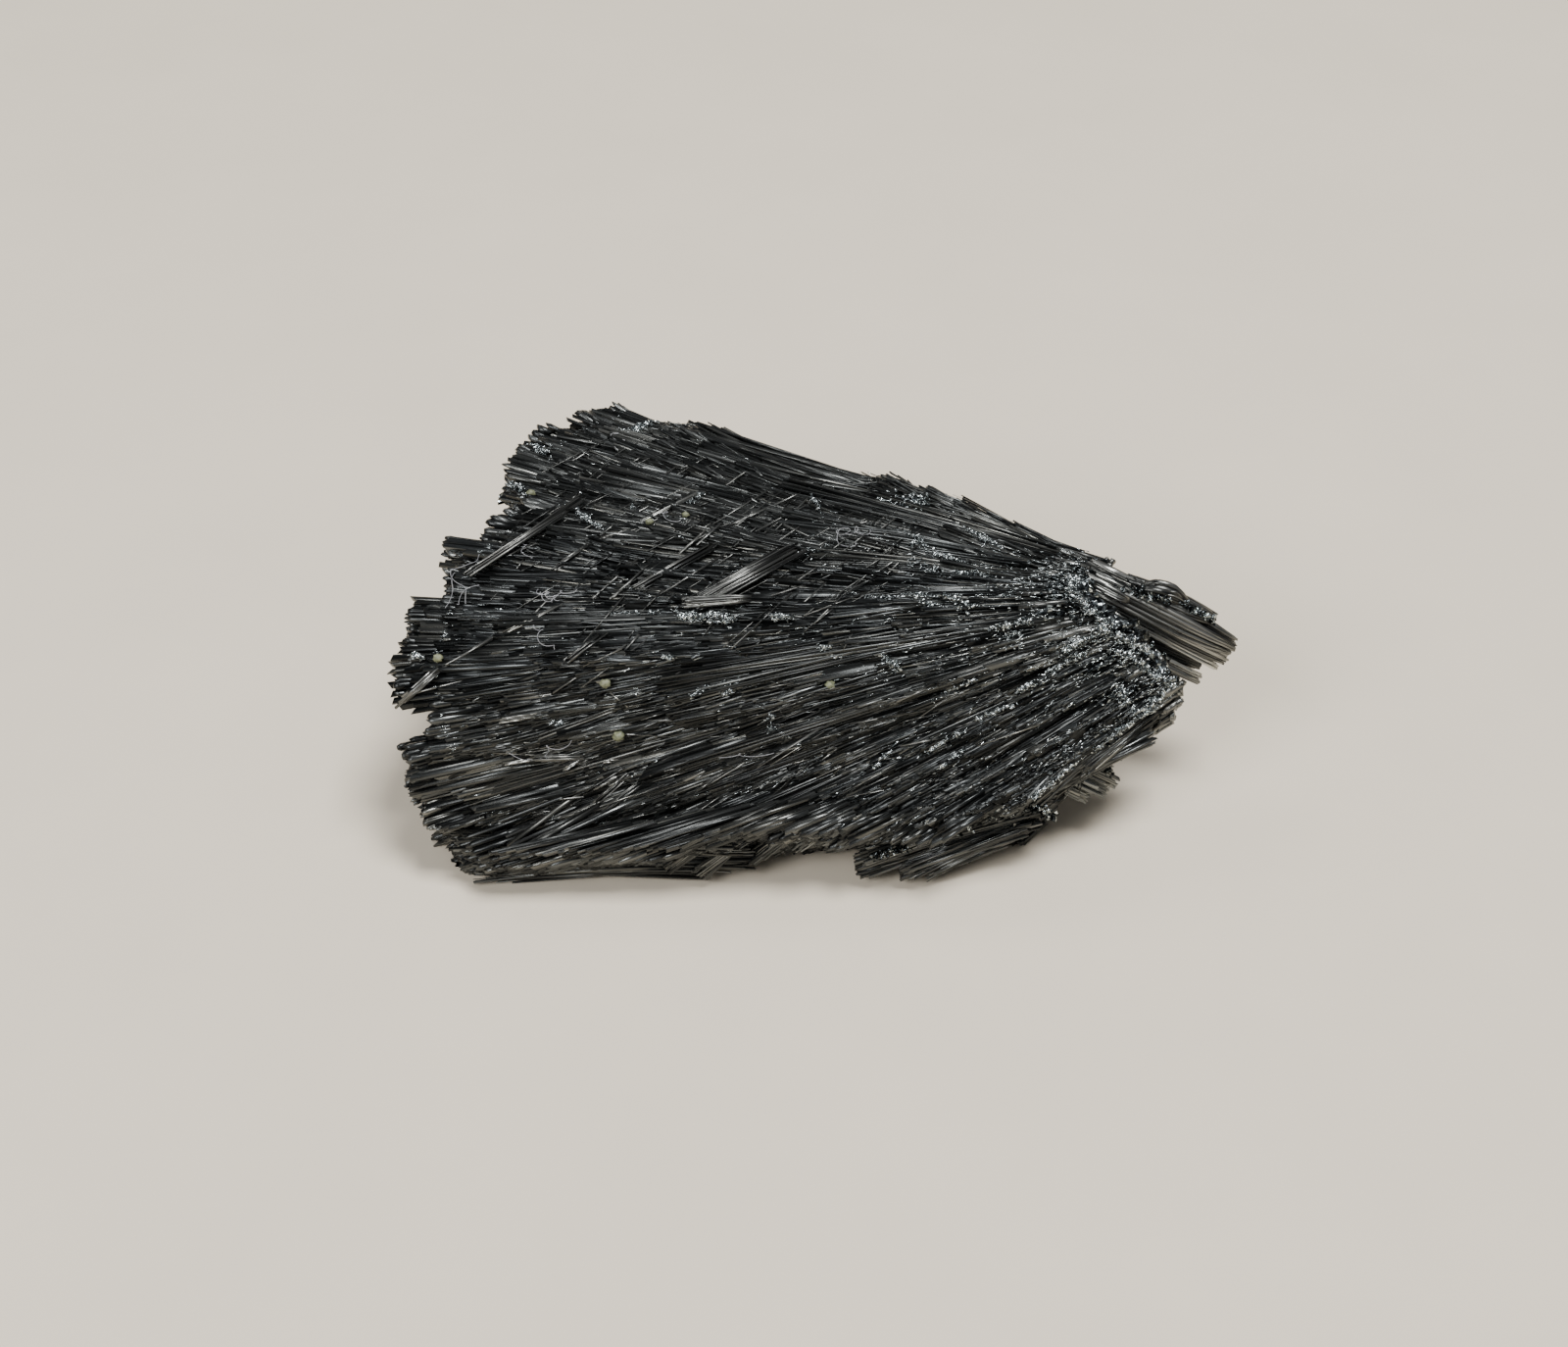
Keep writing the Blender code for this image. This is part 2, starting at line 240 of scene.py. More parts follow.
        # Just under the back edge the station is negative.
        station = (np.mod(turn + 0.25, 1.0) - 0.25) / self.top_end
        for at, out, half_station, half_reach, rise in self.hollows:
            fall = ((station - at) / half_station) ** 2 + ((reach - out) / half_reach) ** 2
            height = height + rise * np.exp(-fall)
        return height

    def point(self, turn: Array, reach: Array, lift: Array) -> Array:
        """Places points: the smooth skin plus (relief + lift) times its outward normal.

        Args:
            turn: Places round the skin, in turns.
            reach: Places along the ray, 0 to 1.
            lift: Heights out of the uneven skin.

        Returns:
            The points, with x, y, z on a last axis.
        """
        height = self.relief(turn, reach) + lift
        return self.surface(turn, reach) + self.outward(turn, reach) * height[..., None]

    def line(self, first: Range, last: Range, lift: float) -> Array:
        """The two points that stand lift over two places, each a station and a reach."""
        at = np.array((first, last))
        return self.point(self.turn_of(at[:, 0]), at[:, 1], lift)

    def ray_length(self, turn: Array) -> Array:
        """How long the ray at each turn is."""
        root, tip = self.ray(turn)
        return np.linalg.norm(tip - root, axis=-1)

    def width_of_turn(self, reach: Array) -> Array:
        """How much a whole turn of the skin measures at this reach."""
        return self.around * (self.root_share + (1 - self.root_share) * np.clip(reach, 0, 1))

    def turn_of(self, station: Array | float) -> Array | float:
        """The turn of a station."""
        return station * self.top_end

    def tip_limit(self, turn: Array) -> Array:
        """How far the tips reach at each turn: the profile, less the notch of the turn's column.

        Args:
            turn: Places round the skin, in turns.

        Returns:
            Reaches close to 1.
        """
        at, profile = np.mod(turn, 1.0), np.array(self.tip_profile)
        reach = np.interp(at / self.top_end, profile[:, 0], profile[:, 1], right=self.under_limit)
        return reach + self.notches[np.searchsorted(self.columns, at)] + self.tip_gain


# --- Meshes ---


@dataclass
class Mesh:
    """Points, polygons and what each carries, before they become a Blender mesh.

    corners are the polygons' points one after another, sizes how many each polygon has, and pattern a place
    on the Strand map for each corner. Each point has a shade and a tint, which the finishes read.
    """

    points: Array
    corners: Array
    sizes: Array
    pattern: Array
    shade: Array
    tint: Array

    @staticmethod
    def joined(parts: list[Mesh]) -> Mesh:
        """Puts meshes together as one, each one's corners counted on from the points before it.

        Args:
            parts: The meshes, in order.

        Returns:
            One mesh of all of them.
        """
        starts = np.cumsum([0] + [len(part.points) for part in parts[:-1]])
        moved = [replace(part, corners=part.corners + start) for part, start in zip(parts, starts)]
        names = (field.name for field in fields(Mesh))
        return Mesh(*(np.concatenate([getattr(part, name) for part in moved]) for name in names))


def sheet_of_cells(sizes: Array) -> Array:
    """Lays every polygon in a cell of its own on the unit square, so that a texture map can hold each face.

    Polygon n sits in cell (n mod side, n div side), its corners at equal angles round the cell's middle.

    Args:
        sizes: How many corners each polygon has.

    Returns:
        A place on the unit square for each corner.
    """
    count = len(sizes)
    side = math.ceil(math.sqrt(count))
    polygon = np.repeat(np.arange(count), sizes)
    first = np.repeat(np.cumsum(sizes) - sizes, sizes)
    angle = FULL * (np.arange(len(polygon)) - first + 0.5) / np.repeat(sizes, sizes)
    cell = np.stack([polygon % side, polygon // side], axis=-1)
    radius, room = 0.62, 0.44
    around = np.stack([np.cos(angle), np.sin(angle)], axis=-1) * radius
    return (cell + 0.5 + np.clip(around, -room, room)) / side


def placed(name: str, data: bpy.types.ID) -> bpy.types.Object:
    """Makes an object of some data and links it to the scene.

    Args:
        name: The object's name.
        data: Its mesh, light or camera.

    Returns:
        The object, at the origin.
    """
    made = bpy.data.objects.new(name, data)
    bpy.context.scene.collection.objects.link(made)
    return made


@dataclass
class Piece:
    """What every piece has: a finish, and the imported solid's box, which it stays in."""

    finish: bpy.types.Material
    box: Array

    def keep(self, name: str, parts: list[Mesh], slot: Slot = Slot.SULPHOSALT) -> bpy.types.Object:
        """Joins meshes to one object that rides on the spray's body, its place held in its mesh.

        Args:
            name: The piece's name.
            parts: Its meshes.
            slot: The record's slot that the finish belongs to; not used.

        Returns:
            The new object, at the origin.
        """
        mesh = Mesh.joined(parts)
        points = np.clip(mesh.points + APEX, *self.box) * MM
        data = bpy.data.meshes.new(name)
        data.vertices.add(len(points))
        data.vertices.foreach_set("co", points.astype(np.float32).ravel())
        data.loops.add(len(mesh.corners))
        data.loops.foreach_set("vertex_index", mesh.corners.astype(np.int32))
        data.polygons.add(len(mesh.sizes))
        data.polygons.foreach_set("loop_start", (np.cumsum(mesh.sizes) - mesh.sizes).astype(np.int32))
        data.polygons.foreach_set("loop_total", mesh.sizes.astype(np.int32))
        data.update(calc_edges=True)
        for label, places in (("Strand", mesh.pattern), ("OFBake", sheet_of_cells(mesh.sizes))):
            data.uv_layers.new(name=label).data.foreach_set("uv", places.astype(np.float32).ravel())
        for label, values in (("shade", mesh.shade), ("tint", mesh.tint)):
            data.attributes.new(label, "FLOAT", "POINT").data.foreach_set("value", values.astype(np.float32))
        data.validate()
        data.materials.append(self.finish)
        piece = placed(name, data)
        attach(piece, BODY)
        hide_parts(NODE)
        LOG.info("%s: %d triangles", name, (mesh.sizes - 2).sum())
        return piece


@dataclass
class Growth(Piece):
    """A piece that follows the fan."""

    fan: Fan


@dataclass
class Strands:
    """Centrelines of many needles with the same number of rings, and how thick each needle is there.

    path holds a point for each needle and ring, out a direction that says which way is up at each needle,
    half the half width at each ring, flat the share of it that is the half depth, roll the turn of the cross
    section, slant how obliquely each end is broken, shade and tint what the finish reads.
    """

    path: Array
    out: Array
    half: Array
    flat: Array
    roll: Array
    slant: Array
    shade: Array
    tint: Array

    def mesh(self, sides: int) -> Mesh:
        """Builds a closed prism round each centreline.

        A ring's corner m is path + half * (cos a * side + flat * sin a * up), with a = roll + 2 pi m /
        sides. The end rings also move along the needle by slant * half * cos(a), which breaks the ends
        obliquely.

        Args:
            sides: How many sides each prism has.

        Returns:
            The prisms as one mesh.
        """
        rings = self.path.shape[1]
        along = unit(np.gradient(self.path, axis=1))
        side = unit(np.cross(np.broadcast_to(self.out[:, None], along.shape), along))
        up = np.cross(along, side)
        angle = self.roll[:, None] + FULL * np.arange(sides) / sides
        cosine, sine = np.cos(angle)[:, None, :, None], np.sin(angle)[:, None, :, None]
        half, flat = self.half[:, :, None, None], self.flat[:, None, None, None]
        points = self.path[:, :, None] + half * (cosine * side[:, :, None] + flat * sine * up[:, :, None])
        for ring, end in ((0, 0), (rings - 1, 1)):
            shift = self.slant[:, end, None, None] * half[:, ring] * cosine[:, 0]
            points[:, ring] += shift * along[:, ring, None]
        marks = (np.repeat(values, rings * sides) for values in (self.shade, self.tint))
        return Mesh(points.reshape(-1, 3), *self._faces(sides), self._pattern(sides), *marks)

    def _faces(self, sides: int) -> tuple[Array, Array]:
        """Makes the polygons: the sides of each prism, then its two ends.

        Args:
            sides: How many sides each prism has.

        Returns:
            Corners and sizes of the polygons.
        """
        count, rings, _ = self.path.shape
        start = np.arange(count)[:, None] * rings * sides
        corner, following = np.arange(sides), (np.arange(sides) + 1) % sides
        rows = start[:, :, None] + np.arange(rings - 1)[:, None] * sides
        near, far = rows + corner, rows + following
        quads = np.stack([near, far, far + sides, near + sides], axis=-1)
        caps = np.stack([start + corner[::-1], start + (rings - 1) * sides + corner], axis=1)
        sizes = np.concatenate([np.full(quads.size // 4, 4), np.full(2 * count, sides)])
        return np.concatenate([quads.ravel(), caps.ravel()]), sizes

    def _pattern(self, sides: int) -> Array:
        """Lays the polygons on the Strand map by the way round the needle and the way along it.

        Both are in millimetres, and each needle has a place of its own on the map. An end is laid flat
        there.

        Args:
            sides: How many sides each prism has.

        Returns:
            A place on the map for each corner.
        """
        count = len(self.path)
        gaps = np.linalg.norm(np.diff(self.path, axis=1), axis=-1)
        way = np.concatenate([np.zeros((count, 1)), np.cumsum(gaps, axis=1)], axis=1)
        facet = FULL / sides * self.half.mean(axis=1)
        place = np.mod(np.arange(count) * 7.31, 97.0)
        across = place[:, None] + facet[:, None] * np.arange(sides + 1)
        left, right, below, above = across[:, :-1], across[:, 1:], way[:, :-1], way[:, 1:]
        u = np.stack([left, right, right, left], axis=-1)[:, None]
        v = np.stack([below, below, above, above], axis=-1)[:, :, None]
        disc = np.arange(sides) * 2 * np.pi / sides
        ends = np.stack([np.cos(disc), np.sin(disc)], axis=-1)
        ends = place[:, None, None, None] + self.half[:, -1, None, None, None] * ends
        ends = np.broadcast_to(ends, (count, 2, sides, 2))
        walls = np.stack(np.broadcast_arrays(u, v), axis=-1)
        return np.concatenate([walls.reshape(-1, 2), ends.reshape(-1, 2)])


def crushed(rng: Random, centres: Array, sizes: Array, shade: Array, tint: Array) -> Mesh:
    """Makes small angular chips: cubes with every corner pushed about, stretched and turned at random.

    A chip's corner is centre + R * (size * (cube corner + jitter)), with R a rotation of its own.

    Args:
        rng: Where the random numbers come from.
        centres: Middles of the chips.
        sizes: Half length, half width and half depth of each chip.
        shade: What the finish reads, for each chip.
        tint: What the finish reads, for each chip.

    Returns:
        The chips as one mesh.
    """
    count = len(centres)
    cube = np.array([(x, y, z) for z in (-1, 1) for y in (-1, 1) for x in (-1, 1)], float)
    local = (cube + rng.uniform(-0.45, 0.45, (count, 8, 3))) * sizes[:, None]
    spin = np.linalg.qr(rng.normal(size=(count, 3, 3)))[0]
    spin *= np.sign(np.linalg.det(spin))[:, None, None]
    points = centres[:, None] + np.einsum("nij,nkj->nki", spin, local)
    faces = np.array((0, 2, 3, 1, 4, 5, 7, 6, 0, 1, 5, 4, 2, 6, 7, 3, 0, 4, 6, 2, 1, 3, 7, 5))
    corners = (np.arange(count)[:, None] * 8 + faces).ravel()
    square = np.array([(0, 0), (1, 0), (1, 1), (0, 1)], float)
    places = np.tile(square, (6 * count, 1)) * 0.3 + np.repeat(np.arange(count) * 3.7 % 91, 24)[:, None]
    marks = np.repeat(shade, 8), np.repeat(tint, 8)
    return Mesh(points.reshape(-1, 3), corners, np.full(6 * count, 4), places, *marks)


def loft(rings: int, sides: int) -> tuple[Array, Array]:
    """Faces of a closed form of rings of points, with one more point in the middle of its first and last end.

    Args:
        rings: How many rings it has.
        sides: How many points a ring has.

    Returns:
        Corners and sizes of the polygons.
    """
    at, last = np.arange(sides), (rings - 1) * sides
    following = (at + 1) % sides
    rows = np.arange(rings - 1)[:, None] * sides
    quads = np.stack([rows + at, rows + sides + at, rows + sides + following, rows + following], axis=-1)
    first_end = np.stack([np.full(sides, rings * sides), at, following], axis=-1)
    last_end = np.stack([np.full(sides, rings * sides + 1), last + following, last + at], axis=-1)
    corners = np.concatenate([quads.ravel(), first_end.ravel(), last_end.ravel()])
    return corners, np.concatenate([np.full(quads.size // 4, 4), np.full(2 * sides, 3)])


# --- Finishes ---


class NodeSheet:
    """A material's node tree, with short calls that add a node and link it."""

    def __init__(self, name: str) -> None:
        """Starts a material that holds only a Principled shader and its output.

        Args:
            name: The material's name.
        """
        self.material = bpy.data.materials.new(name)
        self.material.use_nodes = True
        self.tree = self.material.node_tree

    def feed(self, node: bpy.types.Node, inputs: Inputs) -> None:
        """Links an output to each input that is named or numbered, or sets the input's own value.

        Args:
            node: The node.
            inputs: Values or output sockets, by the input's name or number.
        """
        for label, value in inputs.items():
            if isinstance(value, Socket):
                self.tree.links.new(value, node.inputs[label])
            else:
                node.inputs[label].default_value = value

    def add(self, kind: str, inputs: Inputs | None = None, **settings: object) -> bpy.types.Node:
        """Adds a node.

        Args:
            kind: The node's type, without the ShaderNode in front.
            inputs: Values or output sockets for its inputs.
            **settings: Its own properties.

        Returns:
            The node.
        """
        node = self.tree.nodes.new(f"ShaderNode{kind}")
        for label, value in settings.items():
            setattr(node, label, value)
        self.feed(node, inputs or {})
        return node

    def finished(self, inputs: Inputs) -> bpy.types.Material:
        """Feeds the Principled shader and returns the material."""
        self.feed(self.tree.nodes["Principled BSDF"], inputs)
        return self.material

    def solid(self) -> Socket:
        """Object coordinates."""
        return self.add("TexCoord").outputs["Object"]

    def attribute(self, name: str) -> Socket:
        """An attribute of the mesh's points."""
        return self.add("Attribute", attribute_name=name).outputs["Fac"]

    def maths(self, operation: str, *values: object, held: bool = False) -> Socket:
        """Adds a Math node, held from 0 to 1 if wanted, and returns its output."""
        return self.add("Math", dict(enumerate(values)), operation=operation, use_clamp=held).outputs[0]

    def vectors(self, operation: str, *values: object) -> bpy.types.Node:
        """Adds a Vector Math node."""
        return self.add("VectorMath", dict(enumerate(values)), operation=operation)

    def mixed(self, share: object, first: Socket | Colour, second: Socket | Colour) -> Socket:
        """Adds a colour Mix node and returns its output."""
        first, second = ((*one, 1.0) if isinstance(one, tuple) else one for one in (first, second))
        return self.add("Mix", {"Factor": share, 6: first, 7: second}, data_type="RGBA").outputs[2]

    def ranged(self, value: Socket, low: float, high: float, to_low: float, to_high: float) -> Socket:
        """Adds a Map Range node and returns its output."""
        inputs = {"Value": value, "From Min": low, "From Max": high, "To Min": to_low, "To Max": to_high}
        return self.add("MapRange", inputs).outputs[0]

    def noise(self, vector: Socket, scale: float, detail: float, rough: float) -> Socket:
        """Adds a Noise Texture node and returns its value."""
        inputs = {"Vector": vector, "Scale": scale, "Detail": detail, "Roughness": rough}
        return self.add("TexNoise", inputs).outputs[0]

    def bump(self, height: Socket, strength: float, distance: float) -> Socket:
        """Adds a Bump node and returns its normal."""
        return self.add("Bump", {"Height": height, "Strength": strength, "Distance": distance}).outputs[0]

    def facets(self, vector: Socket, scale: float) -> tuple[Socket, Socket]:
        """Cuts space into cells, each a small plane that leans its own way.

        Args:
            vector: Object coordinates.
            scale: Cells in a metre.

        Returns:
            Height of the planes, (place - cell middle) dot (cell colour - 0.5), and a number from 0 to 1 per
            cell.
        """
        cells = self.add("TexVoronoi", {"Vector": vector, "Scale": scale}).outputs
        local = self.vectors("SUBTRACT", vector, cells["Position"])
        lean = self.vectors("SUBTRACT", cells["Color"], (0.5, 0.5, 0.5))
        height = self.vectors("DOT_PRODUCT", local.outputs[0], lean.outputs[0])
        return height.outputs["Value"], self.add("SeparateColor", {"Color": cells["Color"]}).outputs[1]


@dataclass(frozen=True)
class NeedleFinish:
    """The steel-black sulphosalt: metallic, striated along each needle, here and there brown with tarnish.

    dark and light are its colours at the lowest and highest shade, warm its tarnish, cool the fresh steel
    grey. grooves is how many striations lie in a millimetre.
    """

    name: str
    dark: Colour = (0.0240, 0.0256, 0.0258)
    light: Colour = (0.358, 0.372, 0.360)
    grooves: float = 9.0
    warm: Colour = (0.385, 0.370, 0.310)
    cool: Colour = (0.296, 0.326, 0.340)
    metallic: float = 0.9
    roughness: Range = (0.20, 0.40)
    groove_depth: float = 0.00004

    def material(self) -> bpy.types.Material:
        """Builds the material. Striations are noise stretched along the needle, read from the Strand map.

        Returns:
            The material.
        """
        sheet = NodeSheet(self.name)
        strand = sheet.add("UVMap", uv_map="Strand").outputs[0]
        stretched = sheet.add("Mapping", {"Vector": strand, "Scale": (self.grooves, 0.22, 1.0)}).outputs[0]
        lines = sheet.noise(stretched, 1.0, 3.0, 0.6)
        patches = sheet.noise(sheet.solid(), 260.0, 2.0, 0.5)
        tint = sheet.attribute("tint")
        level = sheet.maths("MULTIPLY_ADD", lines, 0.55, -0.25)
        level = sheet.maths("ADD", level, sheet.attribute("shade"), held=True)
        level = sheet.maths("MULTIPLY", level, sheet.ranged(patches, 0.35, 0.65, 0.75, 1.15), held=True)
        colour = sheet.mixed(level, self.dark, self.light)
        warmth = sheet.maths("MULTIPLY", sheet.ranged(tint, 0.7, 1.0, 0.0, 0.8), level)
        colour = sheet.mixed(warmth, colour, self.warm)
        coolness = sheet.maths("MULTIPLY", sheet.ranged(tint, 0.3, 0.0, 0.0, 0.5), level)
        return sheet.finished({
            "Base Color": sheet.mixed(coolness, colour, self.cool),
            "Metallic": self.metallic,
            "Roughness": sheet.ranged(lines, 0.3, 0.7, *self.roughness),
            "Normal": sheet.bump(lines, 0.6, self.groove_depth),
        })


@dataclass(frozen=True)
class FacetFinish:
    """Broken crystal: small mirror-like facets of blue-black metal that each lean their own way.

    Some of them are bright. scale is how many facets lie in a metre, lean how steeply they tilt, power how
    few of them are bright, and roughness goes from the least to the most bright facet.
    """

    name: str
    dark: Colour
    bright: Colour
    scale: float
    lean: float
    power: float
    roughness: Range

    def material(self) -> bpy.types.Material:
        """Builds the material: cells tilt the surface, and the shade and a cell's number make it bright.

        Returns:
            The material.
        """
        sheet = NodeSheet(self.name)
        height, number = sheet.facets(sheet.solid(), self.scale)
        strength = sheet.ranged(sheet.attribute("shade"), 0.0, 1.0, 0.4, 1.6)
        level = sheet.maths("MULTIPLY", sheet.maths("POWER", number, self.power), strength, held=True)
        return sheet.finished({
            "Base Color": sheet.mixed(level, self.dark, self.bright),
            "Metallic": 0.95,
            "Roughness": sheet.ranged(number, 0.0, 1.0, *self.roughness),
            "Normal": sheet.bump(height, 1.0, self.lean),
        })


@dataclass(frozen=True)
class MottledFinish:
    """A matt surface in soft blotches of two colours: the waxy grains, the lint, and the paper of the floor.

    scale is how many blotches lie in a metre, fine how many finer levels they have and how strong these are,
    and spread which part of the noise goes from deep to pale. waxy is how much light gets in.
    """

    name: str
    deep: Colour
    pale: Colour
    scale: float
    fine: Range
    spread: Range
    roughness: float | Range
    waxy: float = 0.0

    def material(self) -> bpy.types.Material:
        """Builds the material, its roughness mottled too where it is a range.

        Returns:
            The material.
        """
        sheet = NodeSheet(self.name)
        blotches = sheet.noise(sheet.solid(), self.scale, *self.fine)
        roughness = self.roughness
        if isinstance(roughness, tuple):
            roughness = sheet.ranged(blotches, 0.3, 0.7, *roughness)
        colour = sheet.mixed(sheet.ranged(blotches, *self.spread, 0.0, 1.0), self.deep, self.pale)
        inputs = {"Base Color": colour, "Roughness": roughness}
        if self.waxy:
            inputs |= {"Subsurface Weight": self.waxy, "Subsurface Radius": (0.0006, 0.0006, 0.0003)}
        return sheet.finished(inputs)


# --- Growing needles in the fan ---


@dataclass
class Sheaves:
    """Sheaves of needles laid on the skin: where each stands, starts and stops, and how it looks."""

    turn: Array
    start: Array
    stop: Array
    half_width: Array
    pitch: Array
    inner: Array
    outer: Array
    skew: Array
    shade: Array
    tint: Array

    def taken(self, index: Array) -> Sheaves:
        """The sheaves that an index names."""
        return Sheaves(*(getattr(self, field.name)[index] for field in fields(self)))


@dataclass(frozen=True)
class Habit:
    """How the needles of a growth are formed.

    late is how far beyond the sheaf's start they begin, ragged how far short of its end they break, cut how
    obliquely the end as a whole is broken, dome how far short a sheaf's edges end, crown how much lower they
    lie, scatter how unevenly its needles lie and bow how far one bends to the side, all in millimetres; lean
    is the spread of their directions in degrees, taper how much of their width is left at their inner end,
    flat the range of half depth over half width and thick that of half width over pitch. turned is how far a
    sheaf as a whole is rolled and rolled how far its needles differ from it, in radians. nose is how much
    width is left at a blunt tip.
    """

    late: float = 1.2
    ragged: float = 0.5
    cut: float = 0.6
    crown: float = 0.15
    scatter: float = 0.05
    bow: float = 0.05
    lean: float = 0.9
    taper: Range = (0.7, 1.0)
    flat: Range = (0.6, 1.1)
    thick: Range = (0.45, 0.80)
    rings: int = 2
    sides: int = 4
    turned: float = 0.35
    rolled: float = 0.25
    nose: float = 1.0
    dome: float = 0.0


@dataclass(frozen=True)
class SheafPlan:
    """What one growth of sheaves is like. Ranges are lowest and highest.

    count is how many sheaves stand in a whole turn, ends where their outer ends are as a share of the way to
    the tips, length, half_width and pitch their sizes, inner and outer the lift of their two ends, and skew
    how many degrees they lean from the ray.
    """

    count: int
    ends: Range
    length: Range
    half_width: Range
    pitch: Range
    inner: Range
    outer: Range
    skew: float
    shade: Range
    habit: Habit = Habit()

    def grown(self, fan: Fan, rng: Random, turns: Range, dense: float = 1.0, wild: float = 1.0) -> Mesh:
        """Grows the sheaves of one stretch of the skin.

        Painted light: the shade of one that ends near the tips is up to a fifth higher, near the root lower.

        Args:
            fan: The field that they follow.
            rng: Where the random numbers come from.
            turns: The stretch, in turns of the skin.
            dense: How many of the plan's sheaves to draw, as a share.
            wild: How much of the plan's skew to take.

        Returns:
            Their needles as one mesh.
        """
        number = max(int(self.count * (turns[1] - turns[0]) * dense), 1)
        turn = rng.uniform(*turns, number)
        share = rng.uniform(0, 1, number) ** 0.5
        tips, ray = fan.tip_limit(turn), fan.ray_length(turn)
        stop = tips * (self.ends[0] + (self.ends[1] - self.ends[0]) * share)
        length = rng.uniform(*self.length, number) * np.clip(ray / 36, 0.45, 1)
        low, high = self.shade
        sheaves = Sheaves(
            turn,
            np.maximum(stop - length / ray, 0.012),
            stop,
            *(rng.uniform(*span, number) for span in (self.half_width, self.pitch, self.inner, self.outer)),
            np.radians(self.skew * wild) * rng.standard_t(4, number).clip(-4, 4),
            # Painted light: the shade grows towards the tips, as if more light fell there.
            (low + (high - low) * rng.uniform(0, 1, number) ** 1.6) * (0.68 + 0.52 * stop / tips),
            rng.uniform(0, 1, number),
        )
        return grow(fan, rng, sheaves, self.habit)


def grow(fan: Fan, rng: Random, sheaves: Sheaves, habit: Habit) -> Mesh:
    """Grows the needles of some sheaves over the skin.

    Needle j of sheaf b runs at turn = turn_b + a_j * half_width / width of a turn + skew, where a_j goes
    from -1 to 1 across the sheaf, and at lift = inner to outer along it - crown * a_j squared.

    Args:
        fan: The field that the needles follow.
        rng: Where the random numbers come from.
        sheaves: The sheaves.
        habit: How their needles are formed.

    Returns:
        The needles as one mesh.
    """
    number = len(sheaves.turn)
    each = np.maximum((2 * sheaves.half_width / sheaves.pitch).astype(int), 1)
    cut = rng.uniform(-habit.cut, habit.cut, number)
    sheaf = np.repeat(np.arange(number), each)[:, None]
    column, needles = sheaf.shape, len(sheaf)
    its, each_of, before = sheaves.taken(sheaf), each[sheaf], (np.cumsum(each) - each)[sheaf]
    across = 2 * (np.arange(needles)[:, None] - before + 0.5) / each_of - 1
    across = across + rng.uniform(-0.5, 0.5, column) / each_of
    broken = rng.uniform(0, habit.ragged, column) + cut[sheaf] * across + habit.dome * across**2
    ray = fan.ray_length(its.turn)
    first = its.start + rng.uniform(0, habit.late, column) / ray
    last = np.minimum(its.stop - broken / ray, fan.tip_limit(its.turn) + OVERSHOOT)
    last = np.maximum(last, first + SHORTEST / ray)
    t = np.broadcast_to(np.linspace(0, 1, habit.rings), (needles, habit.rings))
    if habit.nose < 1:
        neck = 1 - NOSE_LENGTH / ((last - first) * ray + NOSE_LENGTH)
        t = np.concatenate([np.zeros(column), neck, np.ones(column)], axis=1)
    reach = first + (last - first) * t
    middle = 0.5 * (its.start + its.stop)
    angle = its.skew + np.radians(rng.normal(0, habit.lean, column))
    sideways = across * its.half_width + angle * (reach - middle) * ray
    bow = rng.normal(0, habit.bow, column) * 4 * t * (1 - t)
    place = its.turn + (sideways + bow) / fan.width_of_turn(middle)
    lift = between(its.inner, its.outer, t) - habit.crown * across**2 + rng.normal(0, habit.scatter, column)
    lift = lift + rng.normal(0, habit.scatter, column) * (2 * t - 1)
    radius = its.pitch * rng.uniform(*habit.thick, column)
    taper = rng.uniform(*habit.taper, column)
    half = radius * (taper + (1 - taper) * t)
    half[:, -1] *= habit.nose
    roll = np.pi / habit.sides + rng.normal(0, habit.turned, number)
    return Strands(
        fan.point(place, reach, lift),
        fan.outward(place[:, -1], reach[:, -1]),
        half,
        rng.uniform(*habit.flat, needles),
        (roll[sheaf] + rng.normal(0, habit.rolled, column)).ravel(),
        rng.uniform(-1.4, 1.4, (needles, 2)),
        np.clip(its.shade + rng.normal(0, 0.10, column), 0, 1).ravel(),
        np.clip(its.tint + rng.normal(0, 0.12, column), 0, 1).ravel(),
    ).mesh(habit.sides)


def chance_looks(rng: Random, count: int, slant: float, shade: Range, tint: Range) -> tuple[Array, ...]:
    """Draws the roll, the slant, the shade and the tint of some strands."""
    angles = rng.uniform(0, FULL, count), rng.uniform(-slant, slant, (count, 2))
    return *angles, rng.uniform(*shade, count), rng.uniform(*tint, count)


